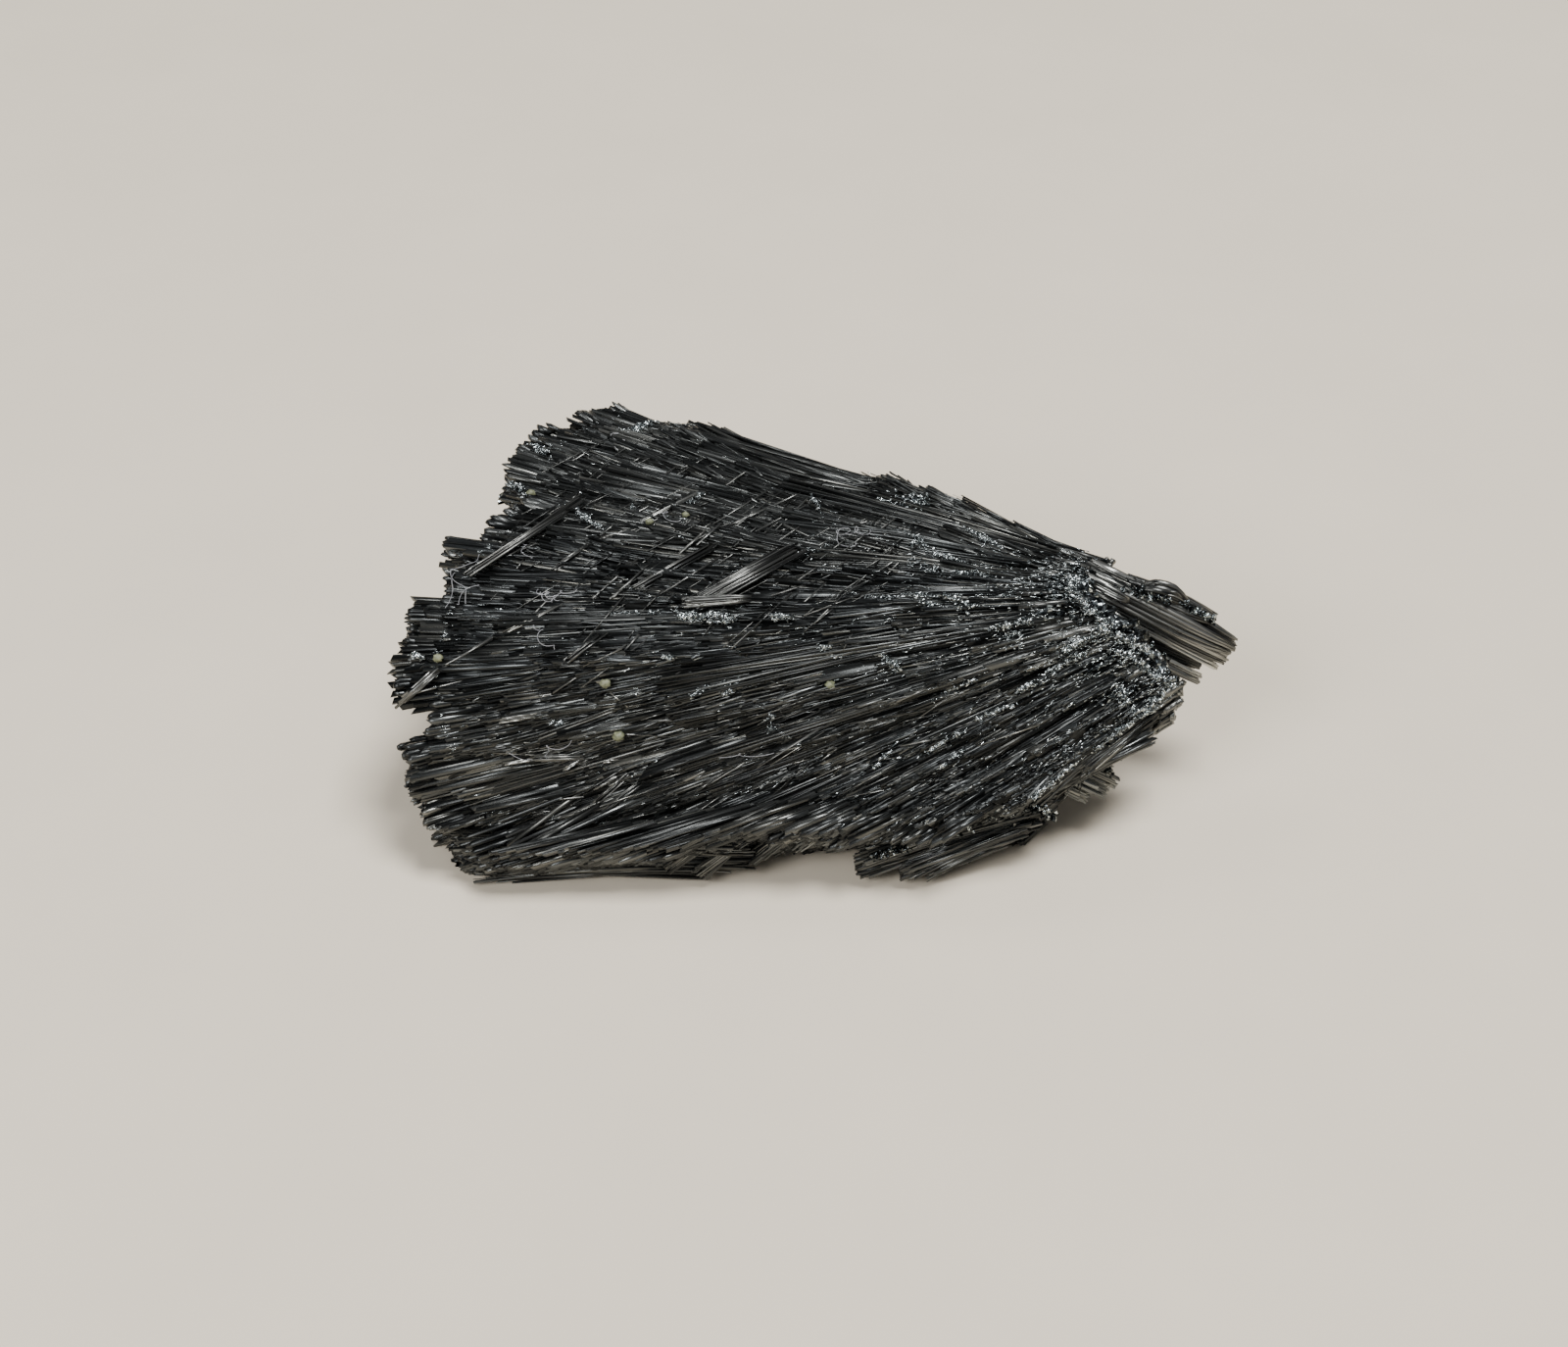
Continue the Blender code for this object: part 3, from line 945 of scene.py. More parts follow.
def bundle(
    rng: Random, ends: Array | tuple[Point, Point], half_width: float, half_depth: float, count: int,
    radius: Range, lean: float, ragged: float, shade: Range, tint: Range = (0.0, 1.0), rings: int = 3,
) -> Strands:
    """Fills a straight row with parallel needles, more of them near its outside.

    Needle j starts at the row's start + x_j * side + y_j * up, with (x, y) spread over the row's ellipse by
    (half_width * r cos q, half_depth * r sin q), and leans from the row by a few degrees.

    Args:
        rng: Where the random numbers come from.
        ends: The row's start and end.
        half_width: Half its width.
        half_depth: Half its depth.
        count: How many needles.
        radius: Thinnest and thickest needle.
        lean: Spread of the needles' directions, in degrees.
        ragged: How far the ends differ.
        shade: Darkest and lightest shade.
        tint: Lowest and highest tint.
        rings: How many rings a needle has.

    Returns:
        The needles' centrelines.
    """
    start, end = np.array(ends)
    along = unit(end - start)
    side = unit(np.cross((0.0, 0.0, 1.0), along))
    up = np.cross(along, side)
    angle = rng.uniform(0, FULL, count)
    out = rng.uniform(0.3, 1, count) ** 0.5
    x, y = half_width * out * np.cos(angle), half_depth * out * np.sin(angle)
    spread = x[:, None] * side + y[:, None] * up
    first = start + rng.uniform(-0.2, 1, (count, 1)) * ragged * along + spread
    last = end - rng.uniform(0, 1, (count, 1)) * ragged * along + spread
    swing = np.tan(np.radians(rng.normal(0, lean, (count, 2)))) * np.linalg.norm(end - start) / 2
    turned = swing[:, :1] * side + swing[:, 1:] * up
    t = np.linspace(0, 1, rings)[None, :, None]
    return Strands(
        between(first[:, None], last[:, None], t) + turned[:, None] * (2 * t - 1),
        np.broadcast_to(up, (count, 3)),
        rng.uniform(*radius, (count, 1)) * np.linspace(1, 0.88, rings),
        rng.uniform(0.7, 1.05, count),
        *chance_looks(rng, count, 1.2, shade, tint),
    )


def splinters(
    fan: Fan, rng: Random, place: tuple[Array, Array, Array] | Array, length: Array, half: Array,
    spread: float, shade: Range, tint: Range = (0.0, 0.6), along: Array | None = None,
) -> Mesh:
    """Makes short pieces of needle that lie on the skin, turned at random about its normal.

    A piece's direction is the ray's * cos(angle) + the sideways direction * sin(angle) + a little of the
    normal.

    Args:
        fan: The field that they lie on.
        rng: Where the random numbers come from.
        place: Turn, reach and lift of each middle.
        length: Their lengths.
        half: Their half widths.
        spread: Spread of the angles, in degrees.
        shade: Darkest and lightest shade.
        tint: Lowest and highest tint.
        along: One direction to take for all of them in place of their rays'.

    Returns:
        The pieces as one mesh.
    """
    turn, reach, _ = place
    count = len(turn)
    out = fan.outward(turn, reach)
    root, tip = fan.ray(turn)
    ray = unit(tip - root) if along is None else np.broadcast_to(along, out.shape)
    ray = unit(ray - (ray * out).sum(axis=-1, keepdims=True) * out)
    angle = np.radians(rng.normal(0, spread, count))[:, None]
    way = ray * np.cos(angle) + np.cross(out, ray) * np.sin(angle) + out * rng.normal(0, 0.05, (count, 1))
    steps = np.array((-0.5, 0.5))[None, :, None]
    return Strands(
        fan.point(*place)[:, None] + way[:, None] * length[:, None, None] * steps,
        out,
        half[:, None] * rng.uniform(0.4, 1.0, (count, 2)),
        rng.uniform(0.4, 1.0, count),
        *chance_looks(rng, count, 1.4, shade, tint),
    ).mesh(4)


@dataclass(frozen=True)
class Ribbon:
    """A ribbon of crumpled facets that rises out of the skin along its middle and sinks in at its edges.

    first and last are the station and reach of the ends of its middle line, half is half its width and rise
    how far its middle stands over the skin. sag is how much lower its edges and its ends lie, and depth how
    far its plain floor is under the skin. A facet is cell long and wide. wavy and frayed are how uneven the
    edge is, in waves and by chance, as a share of its half width. fold is how high the folds are, uneven how
    far a corner is off in height and jitter how far in any direction.
    """

    first: Range
    last: Range
    half: float
    rise: float
    sag: float = 0.8
    depth: float = 0.9
    cell: Range = (0.42, 0.32)
    wavy: float = 0.35
    frayed: float = 0.08
    fold: float = 0.14
    uneven: float = 0.12
    jitter: float = 0.07

    def foil(self, fan: Fan, rng: Random) -> Mesh:
        """Lays the ribbon, and closes it with its floor and walls.

        A point is the skin at its place, lifted by rise - sag * w squared with w from -1 to 1 across, plus
        folds and a jitter in every direction.

        Args:
            fan: The field that it lies on.
            rng: Where the random numbers come from.

        Returns:
            The ribbon as a closed mesh.
        """
        at, half = np.array((self.first, self.last)), self.half
        turns, reaches = fan.turn_of(at[:, 0]), at[:, 1]
        wide, ray = fan.width_of_turn(reaches.mean()), fan.ray_length(turns).mean()
        step = np.array(((turns[1] - turns[0]) * wide, (reaches[1] - reaches[0]) * ray))
        length = float(np.hypot(*step))
        side = np.array((-step[1], step[0])) / length
        rows, columns = max(int(length / self.cell[0]), 3), max(int(2 * half / self.cell[1]), 4)
        t, w = np.meshgrid(np.linspace(0, 1, rows), np.linspace(-1, 1, columns), indexing="ij")
        edge = 1 + self.wavy * np.sin(t * length * 2.7 + w) + rng.normal(0, self.frayed, t.shape)
        turn = turns[0] + (turns[1] - turns[0]) * t + w * half * edge * side[0] / wide
        reach = reaches[0] + (reaches[1] - reaches[0]) * t + w * half * edge * side[1] / ray
        ends_down = self.sag * np.clip((np.abs(2 * t - 1) - 0.85) / 0.15, 0, 1) ** 2
        folds = self.fold * np.sin(6.5 * w * half + 3 * np.sin(4.1 * t * length))
        folds = folds + rng.normal(0, self.uneven, t.shape)
        top = fan.point(turn, reach, self.rise - self.sag * w**2 - ends_down + folds)
        top = top + rng.normal(0, self.jitter, (*t.shape, 3))
        floor = fan.point(turn, reach, -self.depth)
        index = np.arange(rows * columns).reshape(rows, columns)
        near, far, right, left = index[:-1, :-1], index[1:, 1:], index[:-1, 1:], index[1:, :-1]
        upper = np.stack([near, left, far, near, far, right], axis=-1).reshape(-1, 3)
        lower = upper[:, ::-1] + rows * columns
        rim = np.concatenate([index[0, :-1], index[:-1, -1], index[-1, :0:-1], index[:0:-1, 0]])
        after = np.roll(rim, -1)
        walls = np.stack([rim, after, after + rows * columns, rim + rows * columns], axis=-1)
        around = unit(np.cross(top[1, 0] - top[0, 0], top[0, 1] - top[0, 0]))
        if float(around @ fan.outward(turn[0, 0], reach[0, 0])) < 0:
            upper, lower, walls = upper[:, ::-1], lower[:, ::-1], walls[:, ::-1]
        corners = np.concatenate([upper.ravel(), lower.ravel(), walls.ravel()])
        sizes = np.concatenate([np.full(2 * len(upper), 3), np.full(len(walls), 4)])
        pattern = np.tile(np.stack([w * half, t * length], axis=-1).reshape(-1, 2), (2, 1))[corners]
        clusters = 0.5 + 0.5 * np.sin(1.7 * t * length + 1.3 * np.sin(2.9 * w * half + t * length))
        bright = np.tile(np.clip(clusters + rng.normal(0, 0.2, t.shape), 0, 1).ravel(), 2)
        points = np.concatenate([top.reshape(-1, 3), floor.reshape(-1, 3)])
        return Mesh(points, corners, sizes, pattern, bright, rng.uniform(0, 0.6, len(points)))


# --- The pieces ---


@dataclass
class Core(Growth):
    """Painted shade under the needles: a nearly black closed loft inside the skin, ribbed along the rays."""

    ribs: int = 640
    rings: int = 22
    reach: Range = (0.03, 0.90)
    inset: float = 0.85
    rib_height: float = 0.45
    # How much a rib's depth wavers along it, and the shade of the palest rib.
    waver: float = 0.25
    palest: float = 0.15
    seed: int = 11

    def build(self) -> None:
        """Lofts rings of points; each rib lies inset + rib_height * a random share of its own deep."""
        rib = np.random.default_rng(self.seed).uniform(0, 1, self.ribs)
        turn, reach = np.meshgrid(np.arange(self.ribs) / self.ribs, np.linspace(*self.reach, self.rings))
        waver = self.waver * np.sin(reach * 31 + rib * 40)
        depth = (self.inset + self.rib_height * (rib + waver)) * np.clip(reach * 5, 0.3, 1)
        grid = self.fan.point(turn, reach, -depth)
        points = np.concatenate([grid.reshape(-1, 3), grid[[0, -1]].mean(axis=1)])
        corners, sizes = loft(self.rings, self.ribs)
        flat = np.stack([turn * self.fan.around, reach * 40], axis=-1).reshape(-1, 2)
        pattern = np.concatenate([flat, np.zeros((2, 2))])[corners]
        shade = np.append(np.tile(rib * self.palest, self.rings), (0, 0))
        self.keep("needle_core_painted_shade", [Mesh(points, corners, sizes, pattern, shade, np.full(len(points), 0.5))])


LONG_HABIT = Habit(ragged=2.5, cut=0.5, rings=3, lean=0.5)
BLADE_HABIT = Habit(ragged=0.6, cut=0.4, lean=1.0, taper=(0.3, 0.9), flat=(0.16, 0.34), thick=(0.6, 0.9))
SHARD_HABIT = Habit(ragged=0.6, lean=1.8, taper=(0.1, 0.5), flat=(0.25, 0.6), rolled=0.5)
HAIR_HABIT = Habit(ragged=1.0, lean=1.5, taper=(0.5, 1.0), thick=(0.45, 0.75), turned=1.5)
TIP_HABIT = Habit(ragged=0.3, cut=0.5, crown=0.20, lean=1.0, thick=(0.5, 0.9), dome=0.3)
LEDGE_HABIT = Habit(ragged=0.6, cut=0.8, crown=0.3, scatter=0.06, rings=3)
BLUNT_HABIT = Habit(
    ragged=0.25, cut=0.5, crown=0.30, scatter=0.07, lean=0.8, flat=(0.5, 1.0), thick=(0.55, 0.95), rings=3,
    sides=5, rolled=0.6, nose=0.55, dome=0.45,
)
# The growths of the skin, the lowest first: long needles, blades, shingled sheaves, stray shards, single
# hairs that catch the light and are given a high shade as painted highlights, and the ends of inner sheaves.
GROWTHS = tuple(
    SheafPlan(*row)
    for row in (
        (1250, (0.30, 0.97), (12, 28), (0.4, 1.0), (0.13, 0.20), (-0.8, -0.4), (-0.45, -0.10), 0.6,
         (0.02, 0.30), LONG_HABIT),
        (1500, (0.15, 0.955), (4, 15), (0.15, 0.5), (0.32, 0.60), (-0.5, -0.20), (-0.15, 0.18), 1.8,
         (0.0, 0.22), BLADE_HABIT),
        (4600, (0.10, 0.965), (3.5, 12), (0.20, 0.70), (0.125, 0.22), (-0.55, -0.25), (-0.10, 0.32), 2.5,
         (0.0, 0.34)),
        (2200, (0.12, 0.95), (1.6, 6), (0.06, 0.26), (0.12, 0.24), (-0.30, 0.05), (0.00, 0.40), 5.0,
         (0.0, 0.50), SHARD_HABIT),
        # Painted highlights: the hairs' shade reaches 1, so they show as thin bright lines.
        (5500, (0.08, 0.95), (1.2, 7), (0.03, 0.04), (0.045, 0.06), (-0.25, 0.05), (0.02, 0.34), 2.4,
         (0.15, 1.0), HAIR_HABIT),
        (1000, (0.955, 1.0), (4, 12), (0.30, 0.80), (0.22, 0.36), (-0.9, -0.3), (-0.9, 0.22), 2.5,
         (0.0, 0.22), TIP_HABIT),
    )
)


@dataclass
class SkinNeedles(Growth):
    """The needles of one stretch of the skin, from and to the given turns."""

    name: str
    turns: Range
    seed: int
    dense: float = 1.0
    wild: float = 1.0

    def build(self) -> None:
        """Grows every kind of sheaf over the stretch."""
        rng = np.random.default_rng(self.seed)
        stretch = (self.fan, rng, self.turns, self.dense, self.wild)
        self.keep(self.name, [plan.grown(*stretch) for plan in GROWTHS])


@dataclass
class TipBrush(Growth):
    """The ends of the inner needles, which fill the broken face between the top and the underside."""

    name: str
    turns: Range
    seed: int
    depths: tuple[float, ...] = (-1.4, -2.6, -3.8, -5.0, -6.2)
    per_layer: int = 460

    def build(self) -> None:
        """Grows one layer of sheaves for each depth under the skin, its ends near the tips."""
        rng = np.random.default_rng(self.seed)
        layers = [
            SheafPlan(self.per_layer, ends=(0.93, 1.0), length=(5, 11), half_width=(0.4, 1.0),
                      pitch=(0.22, 0.38), inner=(depth - 0.3, depth + 0.3), outer=(depth - 0.6, depth + 0.6),
                      skew=3.0, shade=(0.0, 0.20), habit=TIP_HABIT)
            for depth in self.depths
        ]
        self.keep(self.name, [layer.grown(self.fan, rng, self.turns) for layer in layers])


@dataclass
class TipBundles(Growth):
    """Blunt bundles that end the spray, one stack for each column of tips."""

    lifts: tuple[float, ...] = (0.12, -0.35, -0.85, -1.40, -2.1, -3.0)
    # How far a bundle is off its layer, how much lower its inner end is, and how far short of the tips the
    # layers under the top one end.
    off: float = 0.12
    drop: float = 0.5
    short: Range = (-0.4, 0.7)
    length: Range = (2, 5)
    # Half its width as a share of the column's.
    filled: Range = (0.75, 1.05)
    pitch: Range = (0.22, 0.40)
    shade: Range = (0.0, 0.20)
    seed: int = 27

    def build(self) -> None:
        """Stacks sheaves as wide as their column, each layer ending at a place of its own near the notch."""
        rng = np.random.default_rng(self.seed)
        marks = np.append(self.fan.columns, 1 + self.fan.columns[0])
        columns, layers = len(self.fan.columns), len(self.lifts)
        turn = np.repeat((marks[1:] + marks[:-1]) / 2, layers)
        half = np.repeat(np.diff(marks) / 2, layers) * self.fan.around
        number = len(turn)
        lift = np.tile(self.lifts, columns) + rng.uniform(-self.off, self.off, number)
        back = np.tile(np.arange(layers) > 0, columns) * rng.uniform(*self.short, number)
        ray = self.fan.ray_length(turn)
        stop = self.fan.tip_limit(turn) + OVERSHOOT - back / ray
        sheaves = Sheaves(
            turn,
            np.maximum(stop - rng.uniform(*self.length, number) / ray, 0.05),
            stop,
            half * rng.uniform(*self.filled, number),
            rng.uniform(*self.pitch, number),
            lift - self.drop,
            lift,
            np.radians(rng.normal(0, 2.0, number)),
            rng.uniform(*self.shade, number),
            rng.uniform(0, 1, number),
        )
        self.keep("tip_bundles", [grow(self.fan, rng, sheaves, BLUNT_HABIT)])


@dataclass
class Ledges(Growth):
    """The raised layers of the top, each a thick flat sheaf that is broken off square."""

    # Station, start and end along the ray, half width and rise.
    ledges: tuple[tuple[float, ...], ...] = (
        (0.0, 0.03, 0.178, 0.45, 0.55), (0.006, 0.04, 0.172, 0.45, 0.5), (0.0, 0.16, 0.276, 0.5, 0.55),
        (0.006, 0.15, 0.27, 0.5, 0.5), (0.002, 0.25, 0.345, 0.45, 0.52), (0.008, 0.24, 0.34, 0.45, 0.48),
        (0.004, 0.33, 0.424, 0.5, 0.4), (0.01, 0.32, 0.418, 0.5, 0.36), (0.002, 0.5, 0.6, 0.4, 0.35),
        (0.025, 0.08, 0.42, 0.75, 0.55), (0.06, 0.05, 0.56, 0.8, 0.6), (0.105, 0.06, 0.66, 0.8, 0.45),
        (0.15, 0.1, 0.52, 0.7, 0.5), (0.215, 0.06, 0.44, 0.65, 0.5), (0.3, 0.06, 0.4, 0.65, 0.4),
        (0.345, 0.3, 0.86, 0.75, 0.35), (0.43, 0.05, 0.62, 0.7, 0.45), (0.5, 0.22, 0.93, 0.8, 0.35),
        (0.56, 0.05, 0.7, 0.7, 0.4), (0.64, 0.1, 0.84, 0.75, 0.4), (0.72, 0.08, 0.9, 0.75, 0.4),
        (0.8, 0.05, 0.88, 0.75, 0.4), (0.88, 0.05, 0.94, 0.75, 0.35),
    )
    layers: int = 5
    # How much further the lowest layer reaches and how unevenly they all end, as shares of the ray.
    longer: float = 0.03
    uneven: float = 0.012
    filled: Range = (0.6, 1.0)
    pitch: Range = (0.12, 0.17)
    shade: Range = (0.0, 0.28)
    seed: int = 21

    def build(self) -> None:
        """Stacks layers of sheaves on each ledge, the lower ones a little longer."""
        rng = np.random.default_rng(self.seed)
        rows = np.repeat(np.array(self.ledges), self.layers, axis=0)
        number = len(rows)
        down = np.tile(np.arange(self.layers), len(self.ledges)) / self.layers
        rise = rows[:, 4] * (1 - down)
        sheaves = Sheaves(
            self.fan.turn_of(rows[:, 0]) + rng.normal(0, 0.15, number) / self.fan.around,
            rows[:, 1],
            rows[:, 2] + self.longer * down + rng.uniform(-self.uneven, self.uneven, number),
            rows[:, 3] * rng.uniform(*self.filled, number),
            rng.uniform(*self.pitch, number),
            rise - 0.35,
            rise - 0.05,
            np.radians(rng.normal(0, 0.6, number)),
            rng.uniform(*self.shade, number),
            rng.uniform(0, 1, number),
        )
        self.keep("ledges", [grow(self.fan, rng, sheaves, LEDGE_HABIT)])


@dataclass(frozen=True)
class RodRow:
    """A row of coarse crystals.

    It has a start and an end, half a width and half a depth, and a number of rods of some radius. ragged is
    how far the rods' ends differ and bow how far the row's middle stands up; neck and nose are how much of
    its size is left at its start and at its end.
    """

    start: Point
    end: Point
    half_width: float
    half_depth: float
    rods: int
    radius: Range
    shade: Range
    ragged: float = 0.4
    bow: float = 0.0
    neck: float = 1.0
    nose: float = 0.55
    rings: int = 7

    def shaped(self, strands: Strands, sides: int) -> Mesh:
        """Narrows the row towards both ends, bows it and makes it a mesh.

        A point moves to middle line + (point - middle line) * share + bow * 4 t (1 - t) upwards, with t from
        0 to 1 along the row and a share that goes from neck to 1 and on to nose.

        Args:
            strands: The row's crystals, straight and of one size.
            sides: How many sides each has.

        Returns:
            The crystals as one mesh.
        """
        t = np.linspace(0, 1, self.rings)
        share = np.interp(t, (0.0, 0.3, 0.72, 1.0), (self.neck, 1.0, 1.0, self.nose)) ** 0.8
        line = np.array(self.start) + (np.array(self.end) - np.array(self.start)) * t[:, None]
        rise = self.bow * 4 * t * (1 - t)
        path = line + (strands.path - line) * share[:, None] + rise[:, None] * (0.0, 0.0, 1.0)
        return replace(strands, path=path, half=strands.half * share).mesh(sides)

    def build(self, rng: Random) -> list[Mesh]:
        """Makes a nearly black centre rod as painted shade, the rods round it and thin crystals between them.

        Args:
            rng: Where the random numbers come from.

        Returns:
            The three meshes.
        """
        ends = (self.start, self.end)
        wide, deep, (low, high) = self.half_width, self.half_depth, self.shade
        painted_shade_heart = (min(wide, deep) * 0.8,) * 2
        # The centre rod's shade stays near 0: painted shade in the gaps between the rods.
        painted_shade_core = bundle(rng, ends, 0.02, 0.02, 1, painted_shade_heart, 0, ragged=0.9, shade=(0.0, 0.05), rings=self.rings)
        rods = bundle(rng, ends, wide, deep, self.rods, self.radius, lean=0.5, ragged=self.ragged,
                      shade=self.shade, tint=(0.2, 0.85), rings=self.rings)
        thin = bundle(rng, ends, wide * 1.06, deep * 1.06, self.rods, (0.03, 0.07), lean=0.6,
                      ragged=self.ragged * 3, shade=(low, high + 0.15), tint=(0.3, 0.9), rings=self.rings)
        return [self.shaped(painted_shade_core, 8), self.shaped(rods, 6), self.shaped(thin, 4)]


@dataclass
class RootBlock(Piece):
    """The block of coarse parallel crystals behind the root line, with a ledge under it and a hump."""

    # The back, the middle and the front of the block, its pale edge, the hump, the fan's own corner, the
    # filling under the block, nearly black as painted shade in the gap, and the ledge with its pale top.
    rows: tuple[RodRow, ...] = (
        RodRow((2.9, 2.2, 12.95), (8.4, 0.9, 11.0), 0.75, 0.6, 26, (0.12, 0.26), (0.0, 0.3), 0.7, neck=0.8),
        RodRow((0.4, 2.4, 13.5), (9.6, 0.08, 9.5), 0.95, 0.85, 40, (0.12, 0.28), (0.05, 0.5), 0.5),
        RodRow((0.9, 1.8, 12.7), (9.25, 0.05, 8.65), 0.75, 0.7, 36, (0.1, 0.2), (0.1, 0.65), 0.5),
        RodRow((1.25, 1.0, 12.0), (8.75, -0.25, 8.15), 0.18, 0.2, 9, (0.09, 0.16), (0.7, 1.0), 0.3, nose=0.8),
        RodRow((3.5, 1.6, 12.95), (6.7, 1.3, 11.9), 0.6, 0.45, 16, (0.14, 0.26), (0.0, 0.2), 0.5,
               bow=0.55, neck=0.35, nose=0.4),
        RodRow((0.5, 2.0, 13.45), (3.0, 0.9, 12.65), 0.58, 0.42, 22, (0.08, 0.18), (0.0, 0.34), nose=0.4),
        # Painted shade: nearly black so that the gap over the ledge looks deep.
        RodRow((0.9, 2.2, 10.6), (7.8, 0.5, 7.9), 0.8, 0.6, 26, (0.14, 0.28), (0.0, 0.08), 0.6),
        RodRow((2.4, 0.3, 10.0), (7.7, -0.45, 7.35), 0.42, 0.3, 12, (0.12, 0.2), (0.0, 0.45), nose=0.8),
        RodRow((2.6, 0.2, 10.2), (7.7, -0.55, 7.7), 0.18, 0.12, 5, (0.08, 0.14), (0.6, 0.9), 0.3, nose=0.9),
    )
    seed: int = 31

    def build(self) -> None:
        """Builds every row as one piece."""
        rng = np.random.default_rng(self.seed)
        self.keep("root_block", [mesh for row in self.rows for mesh in row.build(rng)])


@dataclass
class RootFace(Growth):
    """The broken root end of the spray: blunt ends of inner crystals, with chips between them."""

    crystals: int = 620
    # The reach of the crystals' inner ends, and of their outer ends at the face.
    inside: float = 0.10
    outside: Range = (-0.014, 0.016)
    half: Range = (0.12, 0.30)
    seed: int = 35

    def build(self) -> None:
        """Stands crystals between the two sides of the skin.

        A crystal's ends are top * (1 - down) + under * down, at the reach of its inner and of its outer end.
        """
        rng = np.random.default_rng(self.seed)
        fan, count = self.fan, self.crystals
        station, down = rng.uniform(0.0, 1.0, count), rng.uniform(0.0, 1.0, count)
        over = fan.turn_of(station)
        under = fan.base_end + (fan.base_start - fan.base_end) * station
        path = [
            between(fan.surface(over, reach), fan.surface(under, reach), down[:, None])
            for reach in (np.full(count, self.inside), rng.uniform(*self.outside, count))
        ]
        size = rng.uniform(*self.half, count)
        crystals = Strands(
            np.stack(path, axis=1),
            fan.outward(over, np.zeros(count)),
            np.stack([size, size * rng.uniform(0.6, 1.0, count)], axis=-1),
            rng.uniform(0.6, 1.0, count),
            *chance_looks(rng, count, 1.0, (0.0, 0.4), (0.2, 0.8)),
        )
        sizes = size[:, None] * rng.uniform(0.5, 1.0, (count, 3))
        chips = crushed(rng, path[1], sizes, *rng.uniform(0, 0.6, (2, count)))
        self.keep("root_face", [crystals.mesh(5), chips])


@dataclass
class FrontCrystals(Piece):
    """The lobe and the stub that hang under the front rim, and the broken crystals of the rim's side."""

    # Of each row: start, end, half width and half depth.
    lobe: tuple[Row, ...] = (
        ((-1.9, -7.8, 5.2), (-12.4, -10.2, 3.4), 0.6, 0.8),
        ((-2.4, -8.0, 4.4), (-13.6, -10.5, 2.2), 0.65, 0.9),
        ((-2.8, -8.4, 3.7), (-13.9, -10.6, 1.3), 0.6, 0.8),
        ((-3.4, -8.7, 3.1), (-11.2, -10.9, 1.1), 0.6, 0.7),
        ((-4.4, -8.9, 2.4), (-9.8, -10.8, 0.9), 0.55, 0.6), ((-1.2, -6.4, 4.8), (-7.6, -9.2, 0.9), 0.8, 1.1),
        ((-0.2, -5.4, 6.2), (-7.6, -8.4, 1.2), 0.9, 1.2),
    )
    stub: tuple[Row, ...] = (
        ((-2.2, -4.2, 5.9), (1.85, -5.7, 4.35), 0.46, 0.44),
        ((-2.0, -4.6, 5.3), (2.3, -6.05, 3.85), 0.48, 0.46),
        ((-2.6, -4.8, 4.7), (1.7, -6.3, 3.25), 0.48, 0.46), ((-3.2, -4.9, 4.1), (0.6, -6.3, 2.8), 0.4, 0.38),
    )
    rim_side: tuple[Row, ...] = (
        ((5.0, -3.4, 8.7), (-3.6, -9.0, 5.4), 0.55, 0.9), ((4.5, -4.2, 7.9), (-0.4, -7.4, 6.0), 0.45, 0.6),
        ((3.9, -4.1, 7.1), (-2.6, -7.8, 4.7), 0.65, 0.8), ((4.1, -5.2, 7.0), (-1.4, -7.3, 4.9), 0.4, 0.5),
        ((-18.9, -9.6, 4.3), (-23.4, -10.8, 0.9), 0.5, 0.45),
        ((-21.4, -10.0, 4.0), (-25.2, -10.7, 1.1), 0.45, 0.4),
        ((-16.4, -9.3, 4.4), (-20.2, -10.4, 1.6), 0.5, 0.45),
        ((-14.0, -9.0, 4.6), (-17.6, -10.2, 2.3), 0.45, 0.45),
        ((-21.0, -10.6, 3.4), (-38.2, -9.8, 2.6), 0.35, 0.7),
        ((-20.0, -10.2, 1.9), (-37.0, -10.3, 1.2), 0.4, 0.9),
        ((-23.0, -10.3, 1.0), (-35.5, -10.5, 0.6), 0.3, 0.5),
    )
    seed: int = 41

    def build(self) -> None:
        """Builds each group as a piece: a painted-shade centre rod in every row, needles round it and hairs
        between them.
        """
        rng = np.random.default_rng(self.seed)
        for name, rows, count, radius, lean, shade in (
            ("front_lobe", self.lobe, 60, (0.08, 0.18), 2.0, (0.0, 0.30)),
            ("front_stub", self.stub, 30, (0.11, 0.19), 0.2, (0.25, 0.80)),
            ("rim_side", self.rim_side, 70, (0.06, 0.14), 1.6, (0.0, 0.26)),
        ):
            parts = []
            for *ends, wide, deep in rows:
                # The centre rod's shade stays near 0: painted shade in the gaps between the needles.
                painted_shade_heart = bundle(rng, ends, 0.02, 0.02, 1, (wide * 0.75,) * 2, 0, ragged=0.9, shade=(0.0, 0.06))
                needles = bundle(rng, ends, wide * 0.85, deep * 0.85, count, radius, lean, 0.9, shade)
                hairs = bundle(rng, ends, wide, deep, count // 2, (0.025, 0.05), lean, 1.6, (0.2, 0.9))
                parts += [painted_shade_heart.mesh(6), needles.mesh(5), hairs.mesh(4)]
            self.keep(name, parts)


